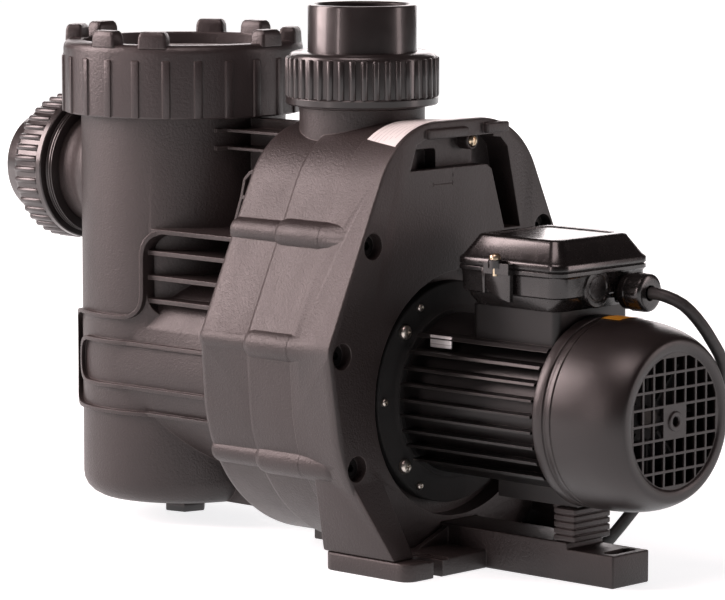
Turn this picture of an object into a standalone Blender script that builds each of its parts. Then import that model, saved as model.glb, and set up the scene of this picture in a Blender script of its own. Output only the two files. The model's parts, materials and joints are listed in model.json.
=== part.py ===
"""Self-priming pool pump: strainer pot, volute casing, fan-cooled motor, terminal box and mains lead.

X runs along the motor from the suction port to the fan cover, Z is up, the ground is Z = 0 and the discharge
axis stands at X = Y = 0.
"""
from math import cos, pi, radians, sin

import bmesh
import bpy
import numpy as np
from mathutils import Matrix, Vector

GAP = 0.0003                    # play between pieces that touch
FACETS = 0.42                   # share of the drawn facets that turned solids get

# Main axes
MOTOR_Z = 0.110
POT_X = -0.1704
SUCTION_Z = 0.2371

# Pipe unions (63 mm pipe class)
UNION_R = 0.0515
SPIGOT_R = 0.0363
PORT_R = 0.0315
THREAD_R = 0.0445
DISCHARGE_TOP = 0.3624
SUCTION_END = -0.314

# Strainer pot
POT_R = 0.071
POT_BORE = 0.0605
POT_BOTTOM = 0.0145
POT_TOP = 0.3105
RING_R = 0.0843
RING_BOTTOM = 0.2822
RING_TOP = 0.332
LUG_TOP = 0.341

# Casing stations along X
CASE_FRONT = -0.033
CASE_STEP = 0.003
CASE_PART = 0.0417
CASE_REAR = 0.088
WALL = 0.0085

# Casing outlines: circles (y, z, radius) that the wall wraps, right half; the left half mirrors it
BODY_CIRCLES = ((0.0, 0.1145, 0.1120), (0.0995, 0.1465, 0.0150), (0.008, 0.2215, 0.0655))
REAR_CIRCLES = ((0.0, 0.1145, 0.1180), (0.1085, 0.1470, 0.0160), (0.021, 0.2300, 0.0600))
BOLTS = ((0.0837, 0.2136), (0.1127, 0.1448), (0.1005, 0.0698))
BARRELS = ((0.0775, 0.2145), (0.1068, 0.1455), (0.0960, 0.0695))
BARREL_R = 0.011
SEAT_R = 0.0815                 # round recess that takes the motor flange
SEAT_X = 0.074

# Base
RAIL_HALF = 0.018
RAIL_TOP = 0.0255
RAIL_LOW_TOP = 0.0212
RAIL_FRONT = -0.028
RAIL_STEP = 0.1972
RAIL_REAR = 0.2357
FOOT_X = (0.052, 0.128)
FOOT_HALF = 0.0935
FOOT_TOP = 0.012

# Motor
FLANGE_R = 0.0734
SHELL_R = 0.053
FIN_R = 0.062
FIN_PITCH = 0.0102
FIN_THICK = 0.0020
MOTOR_FRONT = 0.087
MOTOR_REAR = 0.2036
COVER_R = 0.062
COVER_END = 0.272
GRILLE_R = 0.043
CELL = 0.0104

# Terminal box
BOX_X = (0.1236, 0.2135)
BOX_HALF = 0.046
BOX_BOTTOM = 0.1765
BOX_RIM = 0.1996
LID_BASE = 0.2030
LID_TOP = 0.2220
GLAND_Y = 0.0212
GLAND_Z = 0.1862

# Mains lead
LEAD_D = 0.008
COIL_AT = (-0.118, 0.172)
COIL_MEAN_R = 0.044
COIL_TURNS = 4


def clear_scene():
    for item in list(bpy.data.objects):
        bpy.data.objects.remove(item)
    for item in list(bpy.data.collections):
        bpy.data.collections.remove(item)


def new_collection(name, hidden=False):
    group = bpy.data.collections.new(name)
    bpy.context.scene.collection.children.link(group)
    group.hide_render = hidden
    return group


def material(name, colour, roughness, metallic=0.0):
    made = bpy.data.materials.new(name)
    made.use_nodes = True
    shader = made.node_tree.nodes["Principled BSDF"]
    shader.inputs["Base Color"].default_value = (*colour, 1.0)
    shader.inputs["Roughness"].default_value = roughness
    shader.inputs["Metallic"].default_value = metallic
    made.diffuse_color = (*colour, 1.0)
    return made


clear_scene()
PARTS = new_collection("pool_pump")
CUTTERS = new_collection("cutters", hidden=True)

CASING = material("casing_plastic", (0.110, 0.098, 0.094), 0.62)
GLOSS = material("union_plastic", (0.020, 0.020, 0.022), 0.28)
CLEAR = material("lid_polycarbonate", (0.55, 0.60, 0.62), 0.10)
WHITE = material("basket_plastic", (0.70, 0.71, 0.70), 0.45)
INNER = material("hydraulic_plastic", (0.060, 0.060, 0.064), 0.50)
RUBBER = material("rubber", (0.025, 0.025, 0.025), 0.80)
ALLOY = material("motor_paint", (0.022, 0.021, 0.022), 0.40, 0.1)
STEEL = material("stainless_steel", (0.58, 0.56, 0.52), 0.32, 1.0)
IRON = material("stator_iron", (0.23, 0.22, 0.21), 0.50, 0.9)
CERAMIC = material("seal_ceramic", (0.75, 0.73, 0.68), 0.35)
COVER = material("cover_plastic", (0.050, 0.046, 0.045), 0.45)
BOX = material("box_plastic", (0.018, 0.018, 0.020), 0.25)
SLEEVE = material("capacitor_sleeve", (0.30, 0.31, 0.33), 0.35, 0.3)
LEAD = material("lead_rubber", (0.045, 0.042, 0.042), 0.60)


def add(name, mesh, finish=None):
    """A visible part if it has a finish, otherwise a tool for a Boolean."""
    made = bpy.data.objects.new(name, mesh)
    if finish is None:
        CUTTERS.objects.link(made)
        made.display_type = "WIRE"
    else:
        PARTS.objects.link(made)
        mesh.materials.append(finish)
    return made


def finish_mesh(bm, name, move=None):
    bmesh.ops.remove_doubles(bm, verts=bm.verts, dist=1e-6)
    bmesh.ops.recalc_face_normals(bm, faces=bm.faces)
    if move is not None:
        bmesh.ops.transform(bm, matrix=move, verts=bm.verts)
    mesh = bpy.data.meshes.new(name)
    bm.to_mesh(mesh)
    bm.free()
    return mesh


ALONG_X = Matrix(((0, 0, 1, 0), (0, 1, 0, 0), (-1, 0, 0, 0), (0, 0, 0, 1)))
ALONG_Y = Matrix(((1, 0, 0, 0), (0, 0, -1, 0), (0, 1, 0, 0), (0, 0, 0, 1)))


def turned(name, profile, finish=None, at=(0, 0, 0), axis="Z", steps=48):
    """A closed (radius, height) profile turned about the axis through at."""
    steps = max(12, round(steps * FACETS))
    bm = bmesh.new()
    ring = [bm.verts.new((r, 0, h)) for r, h in profile]
    for one, two in zip(ring, ring[1:] + ring[:1]):
        if max(one.co.x, two.co.x) > 1e-7:
            bm.edges.new((one, two))
    bmesh.ops.spin(bm, geom=bm.verts[:] + bm.edges[:], cent=(0, 0, 0), axis=(0, 0, 1),
                   angle=2 * pi, steps=steps, use_duplicate=False)
    turn = {"Z": Matrix.Identity(4), "X": ALONG_X, "Y": ALONG_Y}[axis]
    made = add(name, finish_mesh(bm, name, turn), finish)
    made.location = at
    return made


def disc(name, radius, low, high, finish=None, at=(0, 0, 0), axis="Z", steps=48):
    return turned(name, [(0, low), (radius, low), (radius, high), (0, high)], finish, at, axis, steps)


def tube(name, inner, outer, low, high, finish=None, at=(0, 0, 0), axis="Z", steps=48):
    return turned(name, [(inner, low), (outer, low), (outer, high), (inner, high)], finish, at, axis, steps)


def on_motor(x=0.0):
    return (x, 0, MOTOR_Z)


def lofted(name, loops, finish=None):
    """A closed skin through loops of equal length, capped at both ends."""
    bm = bmesh.new()
    rows = [[bm.verts.new(p) for p in loop] for loop in loops]
    for low, high in zip(rows, rows[1:]):
        for i in range(len(low)):
            j = (i + 1) % len(low)
            corners = [low[i], low[j], high[j], high[i]]
            bm.faces.new(corners)
    bm.faces.new(rows[0][::-1])
    bm.faces.new(rows[-1])
    bmesh.ops.dissolve_degenerate(bm, edges=bm.edges, dist=1e-6)
    return add(name, finish_mesh(bm, name), finish)


def block(name, x, y, z, finish=None):
    loops = [[(x[0], y[0], h), (x[1], y[0], h), (x[1], y[1], h), (x[0], y[1], h)] for h in z]
    return lofted(name, loops, finish)


def prism_y(name, outline, y, finish=None):
    """An outline in X and Z pushed through from y[0] to y[1]."""
    return lofted(name, [[(px, v, pz) for px, pz in outline] for v in y], finish)


def prism_z(name, outline, z, finish=None):
    return lofted(name, [[(px, py, v) for px, py in outline] for v in z], finish)


def rounded(x, z, radius, steps=5):
    """Outline of a rounded rectangle."""
    points = []
    for k, (cx, cz) in enumerate(((x[1], z[1]), (x[0], z[1]), (x[0], z[0]), (x[1], z[0]))):
        mx = cx - radius if k in (0, 3) else cx + radius
        mz = cz - radius if k in (0, 1) else cz + radius
        for i in range(steps + 1):
            a = (k + i / steps) * pi / 2
            points.append((mx + radius * cos(a), mz + radius * sin(a)))
    return points


def boolean(target, tool, operation):
    step = target.modifiers.new(operation.lower(), "BOOLEAN")
    step.operation = operation
    step.solver = "EXACT"
    step.object = tool
    return target


def by_manifold(target):
    """The other Boolean solver, where long chains of crossing cylinders leave the exact one with open edges."""
    for step in target.modifiers:
        step.solver = "MANIFOLD"
    return target


def cut(target, *tools):
    for tool in tools:
        boolean(target, tool, "DIFFERENCE")
    return target


def join(target, *tools):
    for tool in tools:
        boolean(target, tool, "UNION")
    return target


def many(name, tools):
    """One tool made of several separate solids."""
    bm = bmesh.new()
    for tool in tools:
        part = bmesh.new()
        part.from_mesh(tool.data)
        bmesh.ops.transform(part, matrix=Matrix.Translation(tool.location), verts=part.verts)
        mesh = bpy.data.meshes.new("piece")
        part.to_mesh(mesh)
        part.free()
        bm.from_mesh(mesh)
        bpy.data.objects.remove(tool)
    mesh = bpy.data.meshes.new(name)
    bm.to_mesh(mesh)
    bm.free()
    return add(name, mesh)


def case_outline(circles, grow, x, floor=0.0005, steps=36):
    """The band that wraps the circles and their mirror images, grown or shrunk, at station x."""
    rows = [(s * y, z, r + grow) for y, z, r in circles for s in (1, -1)]
    points = []
    for i in range(steps):
        a = 2 * pi * (i + 0.5) / steps
        y, z, r = max(rows, key=lambda c: c[0] * cos(a) + c[1] * sin(a) + c[2])
        points.append((x, y + r * cos(a), max(z + r * sin(a), floor)))
    return points


def blend(one, two, share, x):
    return [(x, a[1] + (b[1] - a[1]) * share, a[2] + (b[2] - a[2]) * share) for a, b in zip(one, two)]


def mirrored(spots):
    return [(s * y, z) for y, z in spots for s in (-1, 1)]


# ---------------------------------------------------------------- strainer end

def loop_rib(name, x_left, z, radius, width):
    """A rounded band standing proud round the pot and the suction tube."""
    frame = prism_y(name + "_band", rounded((x_left, 0.02), z, radius), (-0.09, 0.09))
    inside = prism_y(name + "_hole", rounded((x_left + width, 0.05), (z[0] + width, z[1] - width),
                                             radius - width), (-0.1, 0.1))
    core = disc(name, 0.0745, 0.03, 0.20, None, (POT_X, 0, 0))
    join(core, disc(name + "_tube", 0.0744, 0, 0.155, None, (POT_X, 0, MOTOR_Z), "X"))
    cut(core, disc(name + "_core", 0.0660, 0.02, 0.21, None, (POT_X, 0, 0)))
    cut(core, disc(name + "_way", 0.0610, 0.01, 0.17, None, (POT_X, 0, MOTOR_Z), "X"))
    boolean(core, by_manifold(cut(frame, inside)), "INTERSECT")
    return by_manifold(core)


def pot_body():
    pot = turned("strainer_housing", [(0, POT_BOTTOM), (0.056, POT_BOTTOM), (0.063, 0.0165), (0.0685, 0.0215),
                                      (POT_R, 0.029), (POT_R, 0.2835), (0.0753, 0.2860), (0.0753, 0.3093),
                                      (0.0741, POT_TOP), (0, POT_TOP)], CASING, (POT_X, 0, 0), steps=64)
    cut(pot, prism_y("window", rounded((-0.141, -0.02), (0.146, 0.2035), 0.015), (-0.09, 0.09)))
    join(pot, disc("inner_wall", 0.0645, 0.135, 0.215, None, (POT_X, 0, 0)))
    join(pot, disc("suction_tube", 0.0708, 0, 0.145, None, (POT_X, 0, MOTOR_Z), "X"))
    join(pot, turned("suction_neck", [(0, -0.2724), (THREAD_R, -0.2724), (THREAD_R, -0.2625), (0.0400, -0.2625),
                                      (0.0400, -0.245), (0.0425, -0.235), (0.0425, -0.1671), (0, -0.1671)],
                     None, (0, 0, SUCTION_Z), "X"))
    return pot


def bridge():
    """The shelves, ties, web and gussets between the pot and the casing."""
    past = CASE_FRONT + 0.004
    made = block("bridge", (-0.118, past), (-0.005, 0.005), (0.15, 0.2808))
    for k, z in enumerate((0.157, 0.173, 0.190, 0.205)):
        join(made, block("shelf_%d" % k, (-0.150, past + 0.003), (-0.0635, 0.0635), (z - 0.0016, z + 0.0016)))
    for k, z in enumerate((0.2615, 0.2735)):
        join(made, block("tie_%d" % k, (-0.130, past + 0.003), (-0.034, 0.034), (z - 0.0012, z + 0.0012)))
    gusset = [(-0.069, 0.2045), (-0.0584, 0.2336), (-0.0552, 0.2459), (-0.0500, 0.2510), (-0.0430, 0.2535),
              (past + 0.005, 0.2540), (past + 0.005, 0.2045)]
    for k, y in enumerate((-0.0570, 0.0546)):
        join(made, prism_y("gusset_%d" % k, gusset, (y, y + 0.0024)))
    return by_manifold(cut(made, disc("bridge_core", 0.0628, 0.1, 0.3, None, (POT_X, 0, 0), steps=64)))


def strainer_housing():
    pot = pot_body()
    cut(pot, turned("pot_bore", [(0, 0.0235), (0.051, 0.0235), (0.0570, 0.0265), (POT_BORE, 0.034),
                                 (POT_BORE, 0.33), (0, 0.33)], None, (POT_X, 0, 0), steps=64))
    cut(pot, disc("suction_bore", PORT_R, -0.30, -0.1811, None, (0, 0, SUCTION_Z), "X"))
    cut(pot, turned("eye_chamber", [(0, -0.1583), (0.050, -0.1583), (0.050, -0.048), (0.0305, -0.040),
                                    (0.0305, 0.0), (0, 0.0)], None, (0, 0, MOTOR_Z), "X"))
    cut(pot, tube("lid_groove", 0.0640, 0.0692, 0.3090, 0.32, None, (POT_X, 0, 0)))
    cut(pot, tube("neck_groove", 0.0366, 0.0404, -0.2800, -0.2693, None, (0, 0, SUCTION_Z), "X"))
    cut(pot, disc("drain_bore", 0.0096, 0.0, 0.03, None, (POT_X, 0, 0)))
    join(pot, block("keel", (-0.113, -0.027), (-0.018, 0.018), (0.0155, 0.05)))
    join(pot, bridge())
    join(pot, loop_rib("loop_outer", -0.2262, (0.0775, 0.146), 0.015, 0.0030))
    join(pot, loop_rib("loop_inner", -0.2087, (0.0955, 0.1285), 0.011, 0.0030))
    cut(pot, block("front_trim", (CASE_FRONT - 0.0005, 0.02), (-0.2, 0.2), (-0.1, 0.4)))
    cut(pot, disc("neck_clearance", 0.0428, 0.243, 0.32, None, (0, 0, 0), "Z", 64))
    return by_manifold(pot)


def o_ring(name, radius, thick, at, axis="Z", steps=48):
    section = [(radius + thick * cos(a), thick * sin(a)) for a in (2 * pi * (k + 0.5) / 6 for k in range(6))]
    return turned(name, section, RUBBER, at, axis, steps)


def lid_ring():
    ring = turned("lid_ring_nut", [(0.0763, RING_BOTTOM), (0.0835, RING_BOTTOM), (RING_R, RING_BOTTOM + 0.001),
                                   (RING_R, 0.3265), (0.0832, 0.3300), (0.0800, RING_TOP), (0.0705, RING_TOP),
                                   (0.0698, RING_TOP - 0.0008), (0.0698, 0.3208), (0.0763, 0.3208)],
                  GLOSS, (POT_X, 0, 0), steps=64)
    lugs = []
    for k in range(4):
        for offset in (-13.5, 13.5):
            a = radians(17 + 90 * k + offset)
            lug = lofted("lug", [[(0.0708, -w, h), (0.0826, -w, h), (0.0826, w, h), (0.0708, w, h)]
                                 for w, h in ((0.0102, 0.330), (0.0096, 0.3385), (0.0080, LUG_TOP))])
            lug.data.transform(Matrix.Rotation(a, 4, "Z"))
            lug.location = (POT_X, 0, 0)
            lugs.append(lug)
    return join(ring, many("lugs", lugs))


def strainer_parts():
    at = (POT_X, 0, 0)
    turned("strainer_lid", [(0, 0.3142), (0.0585, 0.3142), (0.0600, 0.3128), (0.0745, 0.3128), (0.0745, 0.3205),
                            (0.0688, 0.3205), (0.0684, 0.3236), (0.0676, 0.3240), (0, 0.3240)], CLEAR, at)
    o_ring("lid_o_ring", 0.0665, 0.0015, (POT_X, 0, 0.3108), steps=64)
    lid_ring()
    basket = turned("strainer_basket", [(0, 0.0240), (0.0450, 0.0240), (0.0465, 0.0260), (0.0560, 0.2960),
                                        (0.0595, 0.2975), (0.0595, 0.3010), (0.0540, 0.3010), (0.0447, 0.0282),
                                        (0.0430, 0.0265), (0, 0.0265)], WHITE, at)
    bail = [(-0.0545, 0.2960), (-0.0545, 0.3085), (-0.0500, 0.3115), (0.0500, 0.3115), (0.0545, 0.3085),
            (0.0545, 0.2960), (0.0515, 0.2960), (0.0515, 0.3070), (0.0485, 0.3090), (-0.0485, 0.3090),
            (-0.0515, 0.3070), (-0.0515, 0.2960)]
    handle = prism_y("handle", bail, (-0.004, 0.004))
    handle.location = at
    join(basket, handle)
    plug = turned("drain_plug", [(0, 0.0080), (0.0165, 0.0080), (0.0165, 0.0112), (0.0090, 0.0112),
                                 (0.0090, 0.0215), (0.0082, 0.0225), (0, 0.0225)], GLOSS, at, steps=32)
    hexagon = [(0.0156 * cos(radians(60 * k + 13)), 0.0156 * sin(radians(60 * k + 13))) for k in range(6)]
    head = prism_z("drain_head", hexagon, (0.0012, 0.0085))
    head.location = at
    join(plug, head)
    tube("drain_washer", 0.0094, 0.0150, 0.0115, 0.0142, RUBBER, at, steps=32)


def union(prefix, at, axis, sign, neck, end):
    """Nut, pipe end and ring of one union; sign is the way out of the pump along the axis."""
    def spin(name, profile, finish, steps=48):
        points = [(r, sign * h) for r, h in profile]
        return turned(name, points, finish, at, axis, steps)

    seat = neck + GAP
    spin(prefix + "_union_end", [(PORT_R, seat), (0.0440, seat), (0.0440, seat + 0.006), (SPIGOT_R, seat + 0.006),
                                 (SPIGOT_R, end - 0.0012), (SPIGOT_R - 0.0012, end), (PORT_R, end)], GLOSS)
    low, lip, top = neck - 0.0096, seat + 0.0063, neck + 0.0255
    spin(prefix + "_union_nut", [(0.0450, low), (UNION_R - 0.0008, low), (UNION_R, low + 0.0008),
                                 (UNION_R, top - 0.0070), (UNION_R - 0.0022, top - 0.0024),
                                 (UNION_R - 0.0070, top), (0.0369, top), (0.0369, lip), (0.0450, lip)],
         GLOSS, 64)
    middle = Vector(at) + {"Z": Vector((0, 0, 1)), "X": Vector((1, 0, 0))}[axis] * sign * (neck - 0.0015)
    o_ring(prefix + "_o_ring", 0.0385, 0.0013, middle, axis)


# ---------------------------------------------------------------- casing

def rail_clearance(name):
    rail = block(name, (RAIL_FRONT - GAP, 0.2), (-RAIL_HALF - GAP, RAIL_HALF + GAP), (-0.05, RAIL_TOP + GAP))
    foot = block(name + "_foot", (FOOT_X[0] - GAP, 0.2), (-0.15, 0.15), (-0.05, FOOT_TOP + GAP))
    return rail, foot


def bolt_holes(name, low, high, radius):
    return many(name, [disc("hole", radius, low, high, None, (0, y, z), "X", 20) for y, z in mirrored(BOLTS)])


def volute_front():
    body = BODY_CIRCLES
    case = lofted("volute_front", [case_outline(body, -0.0075, CASE_FRONT), case_outline(body, -0.0045, -0.0312),
                                   case_outline(body, -0.0030, -0.0275), case_outline(body, -0.0030, 0.0018),
                                   case_outline(body, 0.0, CASE_STEP), case_outline(body, 0.0, CASE_PART)],
                  CASING)
    barrels = [disc("barrel", BARREL_R, CASE_STEP - 0.001, CASE_PART, None, (0, y, z), "X", 28)
               for y, z in mirrored(BARRELS)]
    join(case, many("front_barrels", barrels))
    slim = [turned("barrel", [(0, CASE_FRONT + 0.001), (0.0080, CASE_FRONT + 0.001), (0.0100, CASE_FRONT + 0.004),
                              (0.0100, CASE_STEP), (0, CASE_STEP)], None, (0, y * 0.972, z), "X", 28)
            for y, z in mirrored(BARRELS)]
    join(case, many("nose_barrels", slim))
    join(case, turned("discharge_neck", [(0, 0.245), (0.033, 0.245), (0.042, 0.266), (0.042, 0.2958),
                                         (THREAD_R, 0.2958), (THREAD_R, 0.3055), (0, 0.3055)]))
    cut(case, lofted("front_cavity", [case_outline(body, -WALL, x, 0.0315) for x in (-0.0250, 0.06)]))
    cut(case, disc("discharge_bore", PORT_R, 0.25, 0.32))
    cut(case, disc("eye", 0.0305, -0.05, -0.01, None, on_motor(), "X"))
    cut(case, bolt_holes("front_threads", 0.008, 0.06, 0.0033))
    cut(case, tube("discharge_groove", 0.0366, 0.0404, 0.3024, 0.31))
    cut(case, *rail_clearance("front_clearance"))
    return by_manifold(case)


def leg(s):
    """Wall that widens from the rear casing's side down to the foot plate, on side s."""
    rows = ((FOOT_TOP + GAP, 0.1160, 0.0930, 0.0735), (0.0610, 0.0868, 0.1017, 0.0735), (0.0850, 0.0860, 0.1060, 0.0800))
    return lofted("leg", [[(0.0525, s * far, z), (x, s * far, z), (x, s * near, z), (0.0525, s * near, z)]
                          for z, x, far, near in rows])


def volute_rear():
    body, rear = BODY_CIRCLES, REAR_CIRCLES
    start = CASE_PART + GAP
    one, two = case_outline(body, 0.0, start), case_outline(rear, 0.0, CASE_REAR)
    case = lofted("volute_rear", [one, blend(one, two, 0.16, 0.0520), blend(one, two, 0.84, 0.0800),
                                  blend(one, two, 1.0, 0.0868), case_outline(rear, -0.0012, CASE_REAR)], CASING)
    barrels = [turned("barrel", [(0, start), (BARREL_R, start), (BARREL_R, 0.068), (BARREL_R * 0.86, 0.0735),
                                 (BARREL_R * 0.5, 0.0775), (0, 0.0790)], None, (0, y, z), "X", 28)
               for y, z in mirrored(BARRELS)]
    join(case, many("rear_barrels", barrels))
    join(case, leg(-1), leg(1))
    cut(case, lofted("rear_cavity", [case_outline(body, -WALL, x, 0.0315) for x in (0.03, 0.0600)]))
    cut(case, lofted("gasket_recess", [case_outline(body, -0.0058, x, 0.0288) for x in (0.03, 0.0433)]))
    cut(case, disc("seat", SEAT_R, SEAT_X, 0.10, None, on_motor(), "X", 64))
    cut(case, disc("seal_bore", 0.0210, 0.05, 0.09, None, on_motor(), "X"))
    cut(case, bolt_holes("rear_shanks", 0.03, 0.085, 0.0033))
    cut(case, bolt_holes("head_recesses", 0.078, 0.10, 0.0090))
    cut(case, block("pocket", (0.076, 0.10), (-0.049, 0.026), (0.2595, 0.2775)))
    cut(case, block("notch", (0.068, 0.08), (-0.0341, -0.0108), (0.2597, 0.2718)))
    cut(case, block("slot", (0.072, 0.10), (0.0440, 0.0590), (0.2155, 0.2700)))
    cut(case, *rail_clearance("rear_clearance"))
    return by_manifold(case)


def casing_parts():
    gasket = lofted("casing_gasket", [case_outline(BODY_CIRCLES, -0.0061, x, 0.0290) for x in (0.0420, 0.0430)],
                    RUBBER)
    cut(gasket, lofted("gasket_hole", [case_outline(BODY_CIRCLES, -WALL, x, 0.0315) for x in (0.03, 0.06)]))
    for k, (y, z) in enumerate(mirrored(BOLTS), 1):
        bolt = turned("casing_bolt_%d" % k, [(0, 0.0120), (0.0030, 0.0120), (0.0030, 0.0783), (0.0068, 0.0783),
                                             (0.0068, 0.0838), (0.0062, 0.0846), (0, 0.0846)],
                      STEEL, (0, y, z), "X", 24)
        socket = [(0.0029 * cos(pi * i / 3), 0.0029 * sin(pi * i / 3)) for i in range(6)]
        cut(bolt, lofted("socket", [[(x, y + a, z + b) for a, b in socket] for x in (0.0812, 0.0860)]))


# ---------------------------------------------------------------- hydraulics

def impeller():
    wheel = turned("impeller", [(0.0073, 0.0020), (0.0120, 0.0020), (0.0120, 0.0190), (0.0560, 0.0190),
                                (0.0560, 0.0215), (0.0120, 0.0215), (0.0120, 0.0400), (0.0073, 0.0400)],
                   INNER, on_motor(), "X")
    vanes = []
    for k in range(6):
        path = [(0.0150 + 0.040 * t, radians(60 * k - 70 * t)) for t in (0, 0.25, 0.5, 0.75, 1.0)]
        outline = [(r * cos(a), r * sin(a)) for r, a in path]
        outline += [(r * cos(a + 0.0022 / r), r * sin(a + 0.0022 / r)) for r, a in path[::-1]]
        vane = lofted("vane", [[(x, y, z) for y, z in outline] for x in (0.0060, 0.0200)])
        vane.location = on_motor()
        vanes.append(vane)
    join(wheel, many("vanes", vanes))
    shroud = turned("shroud", [(0.0250, -0.0020), (0.0275, -0.0020), (0.0290, 0.0060), (0.0560, 0.0095),
                               (0.0560, 0.0120), (0.0270, 0.0085), (0.0250, 0.0065)], None, on_motor(), "X")
    return join(wheel, shroud)


def hydraulic_parts():
    impeller()
    turned("diffuser", [(0.0288, -0.0246), (0.0700, -0.0246), (0.0765, -0.0160), (0.0765, 0.0340),
                        (0.0735, 0.0340), (0.0735, 0.0280), (0.0610, 0.0280), (0.0610, 0.0010),
                        (0.0300, -0.0040), (0.0288, -0.0040)], INNER, on_motor(), "X")
    tube("seal_head", 0.0075, 0.0135, 0.0403, 0.0520, STEEL, on_motor(), "X", 32)
    turned("seal_seat", [(0.0085, 0.0523), (0.0205, 0.0523), (0.0205, 0.0590), (0.0205, 0.0735), (0.0085, 0.0735)],
           CERAMIC, on_motor(), "X", 32)


# ---------------------------------------------------------------- motor

def motor_housing():
    shell = disc("motor_housing", SHELL_R, MOTOR_FRONT, MOTOR_REAR, ALLOY, on_motor(), "X", 64)
    fins = disc("fin_core", FIN_R, MOTOR_FRONT + 0.004, MOTOR_REAR - 0.0005, None, on_motor(), "X", 64)
    plates = [block("fin", (0.05, 0.25), (-0.08, 0.08), (z - FIN_THICK / 2, z + FIN_THICK / 2))
              for z in (MOTOR_Z + 0.0020 + FIN_PITCH * k for k in range(-4, 5))]
    boolean(fins, many("fin_stack", plates), "INTERSECT")
    join(shell, fins)
    join(shell, prism_z("pedestal", rounded((0.1300, 0.2028), (-0.036, 0.036), 0.006), (0.150, BOX_BOTTOM - GAP)))
    join(shell, block("front_foot", (0.135, MOTOR_REAR - 0.001), (-0.014, 0.014), (0.0483, 0.062)))
    cut(shell, disc("stator_bore", 0.0490, 0.05, 0.25, None, on_motor(), "X", 64))
    return shell


def screw(name, at, axis, head_r, head, shank_r, shank):
    return turned(name, [(0, -shank), (shank_r, -shank), (shank_r, 0), (head_r, 0), (head_r, head * 0.7),
                         (head_r * 0.8, head), (0, head)], STEEL, at, axis, 20)


def motor_front():
    flange = turned("motor_flange", [(0.0165, SEAT_X + GAP), (FLANGE_R, SEAT_X + GAP), (FLANGE_R, 0.0830),
                                     (0.0560, 0.0830), (0.0560, 0.0864), (0.0487, 0.0864), (0.0487, 0.0960),
                                     (0.0175, 0.0960), (0.0175, 0.0880), (0.0165, 0.0880)],
                    ALLOY, on_motor(), "X", 64)
    spots = [(0.0660 * cos(radians(a)), MOTOR_Z + 0.0660 * sin(radians(a))) for a in (42, 138, 222, 318)]
    cut(flange, many("flange_holes", [disc("hole", 0.0025, 0.07, 0.10, None, (0, y, z), "X", 16)
                                      for y, z in spots]))
    for k, (y, z) in enumerate(spots, 1):
        screw("flange_screw_%d" % k, (0.0833, y, z), "X", 0.0048, 0.0040, 0.0022, 0.0080)


def bearing(name, low, high, bore, outer):
    return turned(name, [(bore, low), (outer, low), (outer, high), (bore, high)], STEEL, on_motor(), "X", 32)


def motor_inside():
    turned("shaft", [(0, 0.0023), (0.0070, 0.0023), (0.0070, 0.0885), (0.0090, 0.0885), (0.0090, 0.1020),
                     (0.0100, 0.1020), (0.0100, 0.1950), (0.0070, 0.1950), (0.0070, 0.2500), (0, 0.2500)],
           STEEL, on_motor(), "X", 32)
    tube("rotor", 0.0103, 0.0285, 0.1180, 0.1820, IRON, on_motor(), "X")
    tube("stator", 0.0290, 0.0483, 0.1120, 0.1880, IRON, on_motor(), "X")
    bearing("bearing_front", 0.0883, 0.0957, 0.0093, 0.0172)
    bearing("bearing_rear", 0.1963, 0.2057, 0.0073, 0.0157)
    turned("rear_end_shield", [(0.0100, 0.2060), (0.0160, 0.2060), (0.0160, 0.1960), (0.0190, 0.1960),
                               (0.0190, 0.2039), (0.0585, 0.2039), (0.0585, 0.2080), (0.0220, 0.2120),
                               (0.0100, 0.2120)], ALLOY, on_motor(), "X")


def fan():
    hub = turned("fan", [(0.0073, 0.2300), (0.0140, 0.2300), (0.0160, 0.2460), (0.0073, 0.2460)], COVER,
                 on_motor(), "X", 32)
    join(hub, tube("fan_plate", 0.0120, 0.0480, 0.2310, 0.2328, None, on_motor(), "X"))
    blades = []
    for k in range(8):
        blade = block("blade", (0.2318, 0.2480), (-0.0010, 0.0010), (0.0105, 0.0465))
        blade.data.transform(Matrix.Rotation(radians(45 * k), 4, "X"))
        blade.location = on_motor()
        blades.append(blade)
    return join(hub, many("blades", blades))


def fan_cover():
    outside = [(0.0600, 0.2041), (0.0606, 0.2041), (COVER_R, 0.2053), (COVER_R, 0.2122), (0.0609, 0.2132),
               (0.0609, 0.2150), (COVER_R, 0.2160), (COVER_R, 0.2195), (0.0614, 0.2199), (COVER_R, 0.2204),
               (COVER_R, 0.2240), (0.0617, 0.2340), (0.0606, 0.2460), (0.0585, 0.2570), (0.0557, 0.2650),
               (0.0535, 0.2695), (0.0510, COVER_END), (0, COVER_END)]
    inside = [(0, 0.2695), (0.0500, 0.2695), (0.0535, 0.2640), (0.0565, 0.2550), (0.0587, 0.2420),
              (0.0595, 0.2300), (0.0600, 0.2200)]
    cover = turned("fan_cover", outside + inside, COVER, on_motor(), "X", 64)
    opening = disc("grille_area", GRILLE_R, 0.2600, 0.2800, None, on_motor(), "X", 48)
    holes = []
    half, bar = 4, 0.0008
    for i in range(-half, half):
        for j in range(-half, half):
            if i in (-1, 0) and j in (-1, 0):
                continue
            holes.append(block("cell", (0.2600, 0.2800), (CELL * i + bar, CELL * (i + 1) - bar),
                               (CELL * j + bar, CELL * (j + 1) - bar)))
    cells = many("cells", holes)
    cells.location = on_motor()
    boolean(opening, cells, "INTERSECT")
    return cut(cover, opening)


# ---------------------------------------------------------------- terminal box

def box_loop(inset, z, radius=0.010):
    x = (BOX_X[0] + inset, BOX_X[1] - inset)
    return [(px, py, z) for px, py in rounded(x, (-BOX_HALF + inset, BOX_HALF - inset), radius, 4)]


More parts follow.
